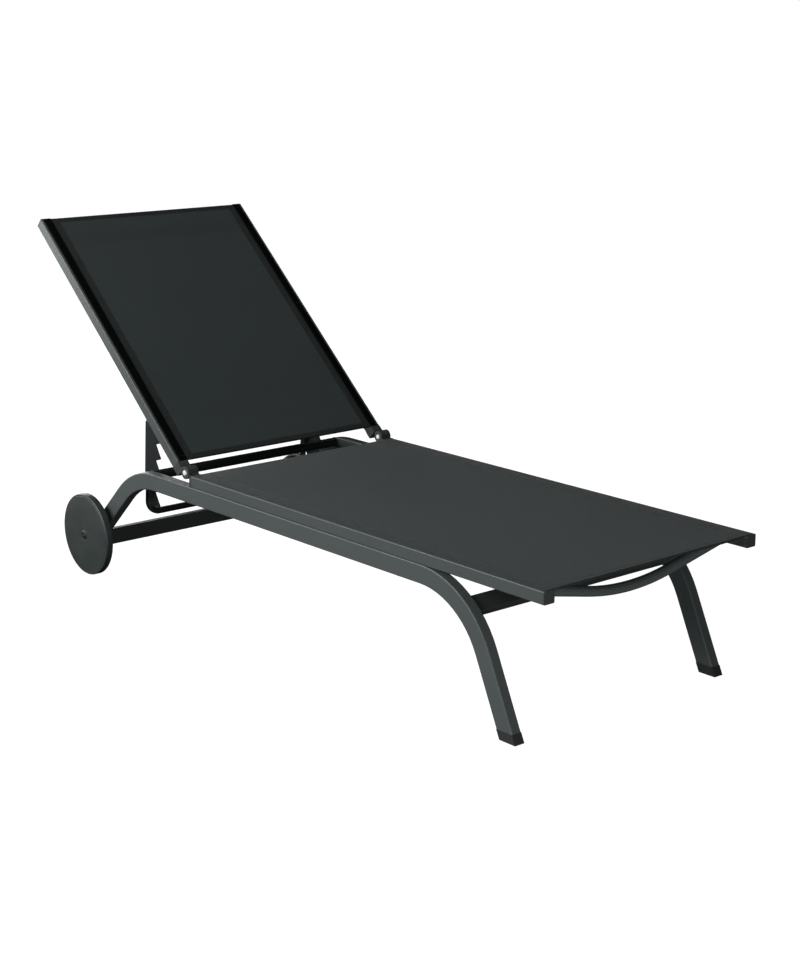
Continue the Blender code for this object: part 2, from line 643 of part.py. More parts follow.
# ---- prop ----------------------------------------------------------------------------------
def make_prop_tube(prop):
    """U-shaped tube: an arm down from each pivot, round into the bar across the bottom."""
    corner_y, corner_z = PROP_Y - PROP_BEND, -PROP_LENGTH + PROP_BEND
    left = arc((corner_y, corner_z), PROP_BEND, 0.0, -90.0, 8)
    right = [(-y, z) for y, z in reversed(left)]
    path = [(0.0, PROP_Y, 0.0095)] + [(0.0, y, z) for y, z in left + right] + [(0.0, -PROP_Y, 0.0095)]
    mesh = fixed_normals(round_tube(path, PROP_RADIUS, 0.0015, 3))
    hole = fixed_normals(rod(0.6, PIN_RADIUS + GAP))
    mesh = joined(mesh, hole, "DIFFERENCE")
    keep("prop_tube", mesh, "zinc", None, prop)


def make_ratchet_plates(prop):
    """Toothed plates riveted to the outboard side of the prop's arms."""
    outline = [(0.0100, -0.268), (0.0005, -0.256), (0.0005, -0.106), (0.0300, -0.106)]
    for tooth in range(TOOTH_COUNT):
        tip = TOOTH_FIRST + TOOTH_PITCH * tooth
        outline += [(TOOTH_TIP, -tip), (TOOTH_ROOT, -tip - TOOTH_HOOK)]
    outline[4:4] = [(TOOTH_ROOT, -TOOTH_FIRST + TOOTH_PITCH - TOOTH_HOOK)]
    outline = outline[:-1] + [(TOOTH_ROOT - 0.006, -0.3120), (0.0200, -0.3040)]
    for name, side in SIDES:
        plate = fixed_normals(upright(slab([outline], PLATE_THICK)))
        middle_y = PROP_Y + PROP_RADIUS + GAP + PLATE_THICK / 2.0
        keep("ratchet_plate_" + name, shifted(plate, y=side * middle_y), "zinc", None, prop)
        rivet = spindle(side * (middle_y + PLATE_THICK / 2.0 + GAP), side,
                        [(0.0, 0.0), (0.0034, 0.0), (0.0028, 0.0013), (0.0, 0.0019)], 12)
        keep("plate_rivet_" + name, rivet, "steel", Matrix.Translation((0.0052, 0, -0.235)), prop)


# ---- wheels --------------------------------------------------------------------------------
def make_wheels(origin):
    """Moulded wheels: a slightly domed disc, a rim behind it and a hub, with the axle bolts."""
    deep = WHEEL_OUTER_Y - WHEEL_INNER_Y
    dome = 0.0030
    face = [(WHEEL_RADIUS - 0.003, -dome), (WHEEL_RADIUS * 0.62, -dome * 0.35), (0.020, 0.0),
            (HUB_BORE, 0.0)]
    profile = [(HUB_BORE, -deep), (HUB_RADIUS, -deep), (HUB_RADIUS + 0.001, -DISC_THICK - 0.001),
               (WHEEL_RADIUS * 0.62, -DISC_THICK - dome * 0.35),
               (WHEEL_RADIUS - 0.0075, -DISC_THICK - dome), (WHEEL_RADIUS - 0.0065, -dome - RIM_DEEP),
               (WHEEL_RADIUS - 0.0025, -dome - RIM_DEEP), (WHEEL_RADIUS, -dome - RIM_DEEP + 0.0025),
               (WHEEL_RADIUS, -dome - 0.0028), (WHEEL_RADIUS - 0.0010, -dome - 0.0008)] + face
    cap = [(0.0, 0.0), (0.0112, 0.0), (0.0112, 0.0012), (0.0090, 0.0024), (0.0045, 0.0028), (0.0, 0.0024)]
    axle_end = 0.0042
    for name, side in SIDES:
        place = Matrix.Translation((WHEEL_AXLE_X, 0, WHEEL_RADIUS))
        wheel = spindle(side * WHEEL_OUTER_Y, side, profile, 64)
        keep("wheel_" + name, wheel, "wheel", place, origin)
        keep("hub_cap_" + name, spindle(side * (WHEEL_OUTER_Y + GAP), side, cap, 24), "plastic",
             place, origin)
        start = TUBE_INNER_Y - GAP
        length = WHEEL_OUTER_Y - axle_end - start
        bolt = spindle(side * start, side, [(0.0, -0.0065), (0.0080, -0.0050), (0.0095, 0.0),
                                            (AXLE_RADIUS, 0.0), (AXLE_RADIUS, length), (0.0, length)], 24)
        keep("axle_bolt_" + name, bolt, "steel", place, origin)
        washer_start = OUTER_Y + GAP
        washer = WHEEL_INNER_Y - GAP - washer_start
        ring = spindle(side * washer_start, side,
                       [(AXLE_RADIUS + GAP, 0.0), (0.0125, 0.0), (0.0125, washer),
                        (AXLE_RADIUS + GAP, washer)], 24)
        keep("axle_spacer_" + name, ring, "plastic", place, origin)


# ---- assembly ------------------------------------------------------------------------------
def axis_empty(name, location, turn, parent=None):
    marker = bpy.data.objects.new(name, None)
    bpy.context.scene.collection.objects.link(marker)
    marker.location = location
    marker.rotation_euler = (0.0, turn, 0.0)
    marker.parent = parent
    return marker


def main():
    clear_scene()
    collection(PARTS)
    origin = axis_empty("frame_datum", (HINGE_X, 0.0, 0.0), 0.0)
    back = axis_empty("recline_axis", (HINGE_X, 0.0, HINGE_HEIGHT), LEAN)
    prop_turn = math.radians(PROP_LEAN_DEG) - LEAN
    prop = axis_empty("prop_axis", (-PROP_ALONG, 0.0, -PROP_BELOW), prop_turn, back)

    make_side_tubes(origin)
    make_shoes(origin)
    make_tube_plugs(origin)
    make_crossbars(origin)
    make_seat_rails(origin)
    make_foot_bow(origin)
    make_seat_sling(origin)
    make_frame_bolts(origin)
    make_hinge_bases(origin)
    make_hinge_pins(origin)
    make_hinge_arms(back)
    make_back_rails(back)
    make_back_bars(back)
    make_back_sling(back)
    make_prop_mounts(back)
    make_prop_tube(prop)
    make_ratchet_plates(prop)
    make_wheels(origin)


main()
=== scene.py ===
"""Looks of a reclining sun lounger with woven slings, a ratchet backrest and two wheels.

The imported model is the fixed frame.  Each operator paints or builds one group of the lounger's
pieces round it.  Sizes are metres, the foot end points along +X and +Z is up.
"""
import json
import math

import bmesh
import bpy
from bpy.props import FloatProperty, FloatVectorProperty, IntProperty, PointerProperty
from mathutils import Matrix, Vector


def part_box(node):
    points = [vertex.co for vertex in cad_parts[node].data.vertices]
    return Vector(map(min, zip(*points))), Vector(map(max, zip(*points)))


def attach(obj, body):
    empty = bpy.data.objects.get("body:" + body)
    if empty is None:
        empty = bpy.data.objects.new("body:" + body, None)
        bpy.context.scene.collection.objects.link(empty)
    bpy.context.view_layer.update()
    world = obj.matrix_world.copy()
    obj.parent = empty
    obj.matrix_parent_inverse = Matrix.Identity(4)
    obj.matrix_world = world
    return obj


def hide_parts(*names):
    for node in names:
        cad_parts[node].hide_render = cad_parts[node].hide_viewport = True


bl_info = {
    "name": "Sun Lounger Looks",
    "version": (1, 0, 0),
    "blender": (4, 5, 0),
    "location": "View3D > Sidebar > Lounger",
    "description": "Finishes, slings, wheels and small fittings of a reclining sun lounger",
    "category": "Object",
}

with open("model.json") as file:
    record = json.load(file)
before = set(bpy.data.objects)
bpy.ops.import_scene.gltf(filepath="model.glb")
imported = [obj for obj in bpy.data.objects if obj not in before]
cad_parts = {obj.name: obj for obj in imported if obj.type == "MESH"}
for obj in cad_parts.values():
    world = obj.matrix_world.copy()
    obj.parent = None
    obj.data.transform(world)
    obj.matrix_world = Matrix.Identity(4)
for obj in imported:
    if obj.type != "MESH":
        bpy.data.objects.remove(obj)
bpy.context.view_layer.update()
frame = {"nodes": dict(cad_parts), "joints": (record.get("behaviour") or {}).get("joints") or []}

# ---- places read from the frame ------------------------------------------------------------
JOINTS = {joint["name"]: joint for joint in frame["joints"]}
HINGE = Vector(JOINTS["recline"]["pos_m"])
LEAN = -math.radians(JOINTS["recline"]["range_deg"][0])      # backrest above the horizontal
AXLE = {side: Vector(JOINTS[f"wheel_{side}_spin"]["pos_m"]) for side in ("left", "right")}
SIDES = (("left", 1.0), ("right", -1.0))

RAIL_INNER_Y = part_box("seat_rail_left")[0].y
RAIL_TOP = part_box("seat_rail_left")[1].z
TUBE_INNER_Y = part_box("side_tube_left")[0].y
DECK = RAIL_TOP - HINGE.z                      # top face of the rails, measured from the hinge
KEDER_Y = (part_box("seat_keder_left")[0].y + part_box("seat_keder_left")[1].y) / 2.0

BACK_PLACE = Matrix.Translation(HINGE) @ Matrix.Rotation(LEAN, 4, "Y")
SEAT_PLACE = Matrix.Translation((HINGE.x, 0.0, HINGE.z))


def middle(node):
    low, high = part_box(node)
    return (Vector(low) + Vector(high)) / 2.0


def seat_x(node):
    """Middle of a seat node, measured from the hinge."""
    return middle(node).x - HINGE.x


def flat_back_x(node):
    """Middle of a backrest node along the backrest, measured from the hinge."""
    return (BACK_PLACE.inverted() @ middle(node)).x


def bar_radius(node):
    low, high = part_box(node)
    return (high.z - low.z) / 2.0


# ---- settings ------------------------------------------------------------------------------
COLOUR = {"subtype": "COLOR", "size": 3, "min": 0.0, "max": 1.0}
WATTS = {"min": 0.0, "max": 5000.0}


class LoungerCoatSettings(bpy.types.PropertyGroup):
    """Finish of the powder-coated frame and its fittings."""
    coat_colour: FloatVectorProperty(
        name="Coat Colour", description="Powder coat of the tubes and rails",
        **COLOUR, default=(0.060, 0.070, 0.069))
    lacquer_colour: FloatVectorProperty(
        name="Lacquer Colour", description="Black finish of the prop, catch bar and plates",
        **COLOUR, default=(0.012, 0.015, 0.016))
    plastic_colour: FloatVectorProperty(
        name="Plastic Colour", description="Bushes, spacers and keder cords",
        **COLOUR, default=(0.015, 0.018, 0.019))
    cap_colour: FloatVectorProperty(
        name="Cap Colour", description="Caps, plugs and shoes at the ends of the tubes",
        **COLOUR, default=(0.040, 0.047, 0.046))
    steel_colour: FloatVectorProperty(
        name="Steel Colour", description="Pins, bolts, screws and rivets",
        **COLOUR, default=(0.72, 0.73, 0.73))
    grain: FloatProperty(
        name="Coat Grain", description="Size of the grains in the powder coat",
        subtype="DISTANCE", unit="LENGTH", default=0.0011, min=0.0002, max=0.01)
    gloss: FloatProperty(
        name="Coat Roughness", description="Roughness of the powder coat",
        subtype="FACTOR", default=0.42, min=0.0, max=1.0)


class LoungerSlingSettings(bpy.types.PropertyGroup):
    """Cloth of the seat and the backrest."""
    seat_colour: FloatVectorProperty(
        name="Seat Colour", description="Yarn colour of the seat sling",
        **COLOUR, default=(0.023, 0.033, 0.032))
    # The backrest's yarn is set lighter than the seat's: painted light that makes up for the shade
    # on the backrest's front.
    back_colour: FloatVectorProperty(
        name="Backrest Colour", description="Yarn colour of the backrest sling",
        **COLOUR, default=(0.031, 0.041, 0.041))
    thread_colour: FloatVectorProperty(
        name="Thread Colour", description="Sewing thread",
        **COLOUR, default=(0.020, 0.023, 0.024))
    thick: FloatProperty(
        name="Cloth Thickness", description="Thickness of one layer of cloth",
        subtype="DISTANCE", unit="LENGTH", default=0.0009, min=0.0003, max=0.003)
    sag: FloatProperty(
        name="Sag", description="How far the middle of a sling hangs below its edges",
        subtype="DISTANCE", unit="LENGTH", default=0.0045, min=0.0, max=0.03)
    hem: FloatProperty(
        name="Side Hem", description="Width of the double layer beside each rail",
        subtype="DISTANCE", unit="LENGTH", default=0.040, min=0.01, max=0.1)
    glow: FloatProperty(
        name="See-Through", description="Share of the light that passes through a single layer",
        subtype="FACTOR", default=0.085, min=0.0, max=0.6)
    yarn: FloatProperty(
        name="Yarn Pitch", description="Distance between neighbouring yarns",
        subtype="DISTANCE", unit="LENGTH", default=0.0011, min=0.0004, max=0.01)
    stitch: FloatProperty(
        name="Stitch Pitch", description="Distance between neighbouring stitches",
        subtype="DISTANCE", unit="LENGTH", default=0.0052, min=0.002, max=0.02)


class LoungerWheelSettings(bpy.types.PropertyGroup):
    """Moulded transport wheels."""
    colour: FloatVectorProperty(
        name="Wheel Colour", description="Moulded plastic of the wheels",
        **COLOUR, default=(0.030, 0.037, 0.036))
    rim_fillet: FloatProperty(
        name="Rim Fillet", description="Radius of the rounded outer edge of the rim",
        subtype="DISTANCE", unit="LENGTH", default=0.0030, min=0.0005, max=0.01)
    ribs: IntProperty(
        name="Ribs", description="Stiffening ribs behind each wheel's disc",
        default=12, min=3, max=40)


class LoungerStageSettings(bpy.types.PropertyGroup):
    """Floor, lamps and camera."""
    floor_colour: FloatVectorProperty(
        name="Floor Colour", description="Pale floor under the lounger",
        **COLOUR, default=(0.96, 0.96, 0.96))
    side_power: FloatProperty(
        name="Side Lamp", description="Power of the large soft lamp beside the lounger",
        unit="POWER", default=196.0, **WATTS)
    head_power: FloatProperty(
        name="Head Lamp", description="Power of the low soft lamp behind the backrest",
        unit="POWER", default=80.0, **WATTS)
    top_power: FloatProperty(
        name="Top Lamp", description="Power of the soft lamp above the lounger",
        unit="POWER", default=10.0, **WATTS)
    foot_power: FloatProperty(
        name="Foot Lamp", description="Power of the low lamp in front of the foot end",
        unit="POWER", default=24.0, **WATTS)
    bounce_power: FloatProperty(
        name="Bounce Lamp", description="Power of the light thrown up at the foot end",
        unit="POWER", default=8.0, **WATTS)
    lens: FloatProperty(
        name="Lens", description="Focal length in millimetres",
        default=67.39, min=10.0, max=300.0)


# ---- material helpers ----------------------------------------------------------------------
EDGE_SOFT = 0.0012           # half width of the soft step at the edge of a hem
RING_PITCH = 0.0014          # between the mould's rings on a wheel


def new_finish(name):
    """A material with its shader, ready for more nodes."""
    made = bpy.data.materials.new(name)
    made.use_nodes = True
    tree = made.node_tree
    return made, tree, tree.nodes["Principled BSDF"]


def feed(tree, node, values):
    """Gives inputs, by name or number, a value each or a link from a (node, output)."""
    for key, value in values.items():
        if isinstance(value, tuple) and isinstance(value[0], bpy.types.Node):
            tree.links.new(value[0].outputs[value[1]], node.inputs[key])
        else:
            node.inputs[key].default_value = value


def add(tree, kind, values=None, **settings):
    """A node of a kind with its settings, and its inputs as feed takes them."""
    node = tree.nodes.new(kind)
    for key, value in settings.items():
        setattr(node, key, value)
    feed(tree, node, values or {})
    return node


def maths(tree, operation, *values, clamp=False):
    """Math node on one or two values, each a number or a (node, output)."""
    return (add(tree, "ShaderNodeMath", dict(enumerate(values)), operation=operation,
                use_clamp=clamp), 0)


def ramp(tree, value, low, high, to_low, to_high, smooth=False):
    """Value mapped from one range to another."""
    values = {"Value": value, "From Min": low, "From Max": high, "To Min": to_low,
              "To Max": to_high}
    return (add(tree, "ShaderNodeMapRange", values,
                interpolation_type="SMOOTHSTEP" if smooth else "LINEAR"), "Result")


def blended(tree, share, first, second):
    """Colour mix of two colours, each a triple or a (node, output)."""
    ends = {slot: (*value, 1.0) if isinstance(value[0], float) else value
            for slot, value in ((6, first), (7, second))}
    return (add(tree, "ShaderNodeMix", {"Factor": share, **ends}, data_type="RGBA"), 2)


def noise(tree, place, scale, detail=2.0, roughness=0.5):
    return (add(tree, "ShaderNodeTexNoise", {"Vector": place, "Scale": scale, "Detail": detail,
                                             "Roughness": roughness}), "Fac")


def shaded(colour, factor):
    return tuple(channel * factor for channel in colour)


def object_space(tree):
    return (add(tree, "ShaderNodeTexCoord"), "Object")


def rounded_edges(tree, radius):
    return (add(tree, "ShaderNodeBevel", {"Radius": radius}, samples=4), "Normal")


def bumped(tree, height, strength, distance, under=None):
    """Normal of a bump, laid over another normal if there is one."""
    values = {"Height": height, "Strength": strength, "Distance": distance}
    if under:
        values["Normal"] = under
    return (add(tree, "ShaderNodeBump", values), "Normal")


def bump_over(made, height, strength, distance):
    """Lays one more bump over a material's own."""
    tree = made.node_tree
    shader = tree.nodes["Principled BSDF"]
    own = shader.inputs["Normal"].links[0].from_node
    feed(tree, shader, {"Normal": bumped(tree, height, strength, distance, (own, "Normal"))})
    return made


def powder_coat(name, colour, roughness, grain, edge_radius=0.0008, edge_light=1.2):
    """Fine-grained powder coat, a little worn and lighter along its edges."""
    made, tree, shader = new_finish(name)
    where = object_space(tree)
    broad = ramp(tree, noise(tree, where, 3.0, 3.0), 0.3, 0.7, 0.0, 1.0)
    tone = blended(tree, broad, shaded(colour, 0.94), shaded(colour, 1.06))
    rounded = rounded_edges(tree, edge_radius)
    plain = (add(tree, "ShaderNodeNewGeometry"), "Normal")
    facing = add(tree, "ShaderNodeVectorMath", {0: rounded, 1: plain}, operation="DOT_PRODUCT")
    edge = ramp(tree, (facing, "Value"), 0.985, 0.80, 0.0, 1.0)
    patches = ramp(tree, noise(tree, where, 55.0, 4.0, 0.7), 0.42, 0.62, 0.15, 0.75)
    worn = maths(tree, "MULTIPLY", edge, patches, clamp=True)
    speckle = noise(tree, where, 0.35 / grain, 3.0, 0.6)
    orange_peel = noise(tree, where, 1.0 / grain, 2.0, 0.6)
    feed(tree, shader, {
        "Base Color": blended(tree, worn, tone, shaded(colour, edge_light)),
        "Roughness": ramp(tree, speckle, 0.25, 0.75, roughness - 0.06, roughness + 0.08),
        "Normal": bumped(tree, orange_peel, 0.30, grain * 0.10, rounded),
        "Specular IOR Level": 0.45})
    return made


def cast_coat(name, colour, roughness):
    """Coated die casting: coarser skin than the tubes, with soft pits."""
    made = powder_coat(name, colour, roughness, 0.0016, edge_radius=0.0012, edge_light=1.4)
    tree = made.node_tree
    pits = add(tree, "ShaderNodeTexVoronoi", {"Vector": object_space(tree), "Scale": 420.0})
    return bump_over(made, (pits, "Distance"), 0.25, 0.0002)


def turned_steel(name, colour, metallic=1.0, roughness=0.28):
    """Bright zinc-plated steel with fine turning marks and a little haze."""
    made, tree, shader = new_finish(name)
    where = object_space(tree)
    stretched = add(tree, "ShaderNodeMapping", {"Vector": where, "Scale": (1.0, 6.0, 1.0)})
    marks = noise(tree, (stretched, "Vector"), 700.0, 3.0, 0.65)
    haze = noise(tree, where, 90.0, 4.0, 0.6)
    feed(tree, shader, {
        "Base Color": blended(tree, ramp(tree, haze, 0.35, 0.7, 0.0, 1.0), colour,
                              shaded(colour, 0.78)),
        "Roughness": ramp(tree, haze, 0.3, 0.7, roughness - 0.06, roughness + 0.08),
        "Normal": bumped(tree, marks, 0.25, 0.00008),
        "Metallic": metallic})
    return made


def grained_plastic(name, colour, roughness, grain=0.0009):
    """Injection-moulded plastic with a spark-eroded grain and faint scuffs."""
    made, tree, shader = new_finish(name)
    where = object_space(tree)
    cells = add(tree, "ShaderNodeTexVoronoi", {"Vector": where, "Scale": 1.0 / grain},
                feature="SMOOTH_F1")
    streaked = add(tree, "ShaderNodeMapping", {"Vector": where, "Scale": (1.0, 1.0, 0.12),
                                               "Rotation": (0.3, 0.5, 0.0)})
    streaks = noise(tree, (streaked, "Vector"), 160.0, 5.0, 0.75)
    scuff = ramp(tree, streaks, 0.58, 0.74, 0.0, 0.5)
    cloud = noise(tree, where, 24.0, 3.0)
    feed(tree, shader, {
        "Base Color": blended(tree, scuff, colour, shaded(colour, 1.5)),
        "Roughness": ramp(tree, cloud, 0.3, 0.7, roughness - 0.05, roughness + 0.08),
        "Normal": bumped(tree, (cells, "Distance"), 0.35, grain * 0.12,
                         rounded_edges(tree, 0.0006))})
    return made


def wheel_plastic(name, colour, axle):
    """Moulded wheel plastic: fine grain, with faint rings from the mould round the axle."""
    made = grained_plastic(name, colour, 0.40, 0.0007)
    tree = made.node_tree
    centred = add(tree, "ShaderNodeMapping", {
        "Vector": object_space(tree), "Location": (-axle.x, 0.0, -axle.z),
        "Scale": (1.0, 0.0, 1.0)})
    reach = add(tree, "ShaderNodeVectorMath", {0: (centred, "Vector")}, operation="LENGTH")
    turns = maths(tree, "MULTIPLY", (reach, "Value"), 2.0 * math.pi / RING_PITCH)
    return bump_over(made, maths(tree, "SINE", turns), 0.10, 0.00004)


def woven_cloth(name, colour, yarn, hem_edge, half_length, end_hem, shades, glow):
    """Coated yarns in a plain weave, with painted shade between the yarns, on the hems and on the
    cloth over the rails.
    """
    made, tree, shader = new_finish(name)
    place = (add(tree, "ShaderNodeUVMap", uv_map="cloth"), "UV")
    split = add(tree, "ShaderNodeSeparateXYZ", {0: place})
    across, along = (split, "X"), (split, "Y")
    columns, rows = (maths(tree, "DIVIDE", value, yarn) for value in (across, along))
    parity = maths(tree, "ADD", maths(tree, "FLOOR", columns), maths(tree, "FLOOR", rows))
    over = maths(tree, "PINGPONG", parity, 1.0)
    turns = [maths(tree, "MULTIPLY", maths(tree, "FRACT", value), math.pi)
             for value in (columns, rows)]
    warp, weft = (maths(tree, "SINE", turn) for turn in turns)
    height = (add(tree, "ShaderNodeMix", {0: over, 2: weft, 3: warp}, data_type="FLOAT"), 0)
    slub = noise(tree, place, 130.0, 3.0, 0.6)
    tone = blended(tree, ramp(tree, slub, 0.3, 0.7, 0.0, 1.0), shaded(colour, 0.90),
                   shaded(colour, 1.10))
    broad = noise(tree, place, 4.0, 2.0)
    tone = blended(tree, ramp(tree, broad, 0.3, 0.7, 0.0, 0.16), tone, shaded(colour, 0.6))
    # Painted shade between the yarns: the colour darkens where the weave lies low.
    tone = blended(tree, ramp(tree, height, 0.0, 0.5, 0.55, 0.0), tone, shaded(colour, 0.25))

    def beyond(value, edge, most=1.0):
        return ramp(tree, maths(tree, "ABSOLUTE", value), edge - EDGE_SOFT, edge + EDGE_SOFT,
                    0.0, most, smooth=True)

    hem_shade, rail_shade = shades
    # Painted shade on the hems: the double layer's colour is darkened, on top of the see-through
    # light that the mix further down really takes away there.
    doubled = maths(tree, "MAXIMUM", beyond(across, hem_edge),
                    beyond(along, half_length - end_hem))
    tone = blended(tree, maths(tree, "MULTIPLY", doubled, 1.0 - hem_shade), tone,
                   shaded(colour, 0.12))
    # Painted shade on the cloth over the rails: its colour, specular level and sheen are turned
    # down there.
    over_rail = beyond(across, RAIL_INNER_Y, 1.0 - rail_shade)
    feed(tree, shader, {
        "Base Color": blended(tree, over_rail, tone, shaded(colour, 0.04)),
        "Specular IOR Level": ramp(tree, over_rail, 0.0, 1.0, 0.18, 0.05),
        "Sheen Weight": ramp(tree, over_rail, 0.0, 1.0, 0.10, 0.0),
        "Sheen Roughness": 0.45,
        "Roughness": ramp(tree, slub, 0.3, 0.7, 0.50, 0.64),
        "Normal": bumped(tree, height, 0.5, yarn * 0.22)})
    through = add(tree, "ShaderNodeBsdfTranslucent", {"Color": (0.62, 0.70, 0.69, 1.0)})
    mixed = add(tree, "ShaderNodeMixShader", {0: ramp(tree, doubled, 0.0, 1.0, glow, 0.0),
                                              1: (shader, "BSDF"), 2: (through, "BSDF")})
    feed(tree, tree.nodes["Material Output"], {"Surface": (mixed, 0)})
    return made


def twisted_thread(name, colour):
    """Sewing thread with a diagonal twist."""
    made, tree, shader = new_finish(name)
    wave = add(tree, "ShaderNodeTexWave", {"Vector": object_space(tree), "Scale": 420.0,
                                           "Distortion": 2.0}, bands_direction="DIAGONAL")
    twist = (wave, "Fac")
    feed(tree, shader, {
        "Base Color": blended(tree, twist, shaded(colour, 0.7), shaded(colour, 1.5)),
        "Normal": bumped(tree, twist, 0.4, 0.0001),
        "Roughness": 0.6})
    return made


def repaint(nodes, finish):
    """Gives CAD nodes a finish, leaving their shapes alone."""
    for name in nodes:
        materials = frame["nodes"][name].data.materials
        materials.clear()
        materials.append(finish)


def pairs(*parts):
    """Names of the left and right nodes of some parts."""
    return [f"{part}_{name}" for part in parts for name, _ in SIDES]


# ---- mesh helpers --------------------------------------------------------------------------
MERGE = 0.000004             # points closer than this are one
SPECK = 0.000001             # edges shorter than this are dropped
SMOOTH_DEG = 32.0            # sharpest bend that is shaded smooth


def finished(name, mesh, finish, body, stands_for=()):
    """A finished piece at the origin, riding on its body."""
    thing = bpy.data.objects.new(name, mesh)
    bpy.context.scene.collection.objects.link(thing)
    mesh.name = name
    mesh.materials.clear()
    mesh.materials.append(finish)
    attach(thing, body)
    if stands_for:
        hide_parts(*stands_for)
    return thing


def mesh_of(points, faces=(), edges=()):
    mesh = bpy.data.meshes.new("part")
    mesh.from_pydata([tuple(point) for point in points], list(edges), list(faces))
    mesh.update()
    return mesh


def closed_and_outward(mesh):
    """Merges doubles, turns faces outwards and shades smooth up to an angle."""
    edit = bmesh.new()
    edit.from_mesh(mesh)
    bmesh.ops.remove_doubles(edit, verts=edit.verts, dist=MERGE)
    bmesh.ops.dissolve_degenerate(edit, dist=SPECK, edges=edit.edges)
    bmesh.ops.recalc_face_normals(edit, faces=edit.faces)
    edit.to_mesh(mesh)
    edit.free()
    mesh.shade_smooth()
    mesh.set_sharp_from_angle(angle=math.radians(SMOOTH_DEG))
    return mesh


def loose(mesh):
    """A construction object, removed once it is baked."""
    thing = bpy.data.objects.new("construction", mesh)
    bpy.context.scene.collection.objects.link(thing)
    return thing


def baked(source):
    """The evaluated mesh of a construction object, which is then removed."""
    bpy.context.view_layer.update()
    graph = bpy.context.evaluated_depsgraph_get()
    mesh = bpy.data.meshes.new_from_object(source.evaluated_get(graph), depsgraph=graph)
    bpy.data.objects.remove(source, do_unlink=True)
    return mesh


def around(radius, degrees):
    """Point at a radius and an angle round the origin."""
    return radius * math.cos(math.radians(degrees)), radius * math.sin(math.radians(degrees))


def turned(profile, steps):
    """Closed (radius, height) profile turned round Z."""
    points, faces = [], []
    count = len(profile)
    for step in range(steps):
        points += [(*around(radius, 360.0 * step / steps), height) for radius, height in profile]
        here, there = step * count, (step + 1) % steps * count
        for first in range(count):
            second = (first + 1) % count
            faces.append((here + first, there + first, there + second, here + second))
    return closed_and_outward(mesh_of(points, faces))


def prism(first, second):
    """Closed shape between two rings of points."""
    count = len(first)
    faces = [tuple(range(count)), tuple(reversed(range(count, 2 * count)))]
    faces += [(at, (at + 1) % count, count + (at + 1) % count, count + at) for at in range(count)]
    return mesh_of(first + second, faces)


def axle_ways(axle, side):
    """Matrix from a piece turned round Z, height outboard, to a wheel's axle."""
    return (Matrix.Translation((axle.x, 0.0, axle.z)) @
            Matrix.Rotation(math.radians(-90.0 * side), 4, "X"))


def fillet(centre, radius, start_deg, end_deg, steps):
    """Points along an arc."""
    spots = [around(radius, start_deg + (end_deg - start_deg) * step / steps)
             for step in range(steps + 1)]
    return [(centre[0] + x, centre[1] + z) for x, z in spots]


# ---- repeated shapes -----------------------------------------------------------------------
def new_tree(name, inputs):
    """A tree with inputs of (name, kind, default) between its geometry and its finish."""
    tree = bpy.data.node_groups.new(name, "GeometryNodeTree")
    for label, kind, default in (("Geometry", "Geometry", None), *inputs,
                                 ("Finish", "Material", None)):
        socket = tree.interface.new_socket(name=label, in_out="INPUT",
                                           socket_type="NodeSocket" + kind)
        if default is not None:
            socket.default_value = default
    tree.interface.new_socket(name="Geometry", in_out="OUTPUT", socket_type="NodeSocketGeometry")
    return tree, add(tree, "NodeGroupInput")


def give_out(tree, source, shape):
    """Paints a shape with the tree's finish and gives it out."""
    painted = add(tree, "GeometryNodeSetMaterial", {"Geometry": shape,
                                                    "Material": (source, "Finish")})
    add(tree, "NodeGroupOutput", {"Geometry": (painted, "Geometry")})
    return tree


def bead_row_tree():
    """Tree that strings beads along lines: stitches, or the ripples of a weld."""
    tree, source = new_tree("Beads Along Lines", (
        ("Pitch", "Float", 0.005), ("Bead Size", "Vector", (0.004, 0.0008, 0.0006)),
        ("Up", "Vector", (0.0, 0.0, 1.0)), ("Unevenness", "Float", 0.1)))
    lines = add(tree, "GeometryNodeMeshToCurve", {"Mesh": (source, "Geometry")})
    spaced = add(tree, "GeometryNodeResampleCurve",
                 {"Curve": (lines, "Curve"), "Length": (source, "Pitch")}, mode="LENGTH")
    bead = add(tree, "GeometryNodeMeshUVSphere", {"Segments": 6, "Rings": 4, "Radius": 0.5})
    tangent = (add(tree, "GeometryNodeInputTangent"), "Tangent")
    along = add(tree, "FunctionNodeAlignRotationToVector", {"Vector": tangent}, axis="X")
    upright = add(tree, "FunctionNodeAlignRotationToVector",
                  {"Rotation": (along, "Rotation"), "Vector": (source, "Up")},
                  axis="Z", pivot_axis="X")
    chance = add(tree, "FunctionNodeRandomValue", {2: -1.0, 3: 1.0, "Seed": 7},
                 data_type="FLOAT")
    spread = maths(tree, "MULTIPLY", (chance, 1), (source, "Unevenness"))
    sized = add(tree, "ShaderNodeVectorMath",
                {0: (source, "Bead Size"), "Scale": maths(tree, "ADD", spread, 1.0)},
                operation="SCALE")
    placed = add(tree, "GeometryNodeInstanceOnPoints",
                 {"Points": (spaced, "Curve"), "Instance": (bead, "Mesh"),
                  "Rotation": (upright, "Rotation"), "Scale": (sized, 0)})
    real = add(tree, "GeometryNodeRealizeInstances", {"Geometry": (placed, "Instances")})
    smooth = add(tree, "GeometryNodeSetShadeSmooth", {"Geometry": (real, "Geometry")})
    return give_out(tree, source, (smooth, "Geometry"))


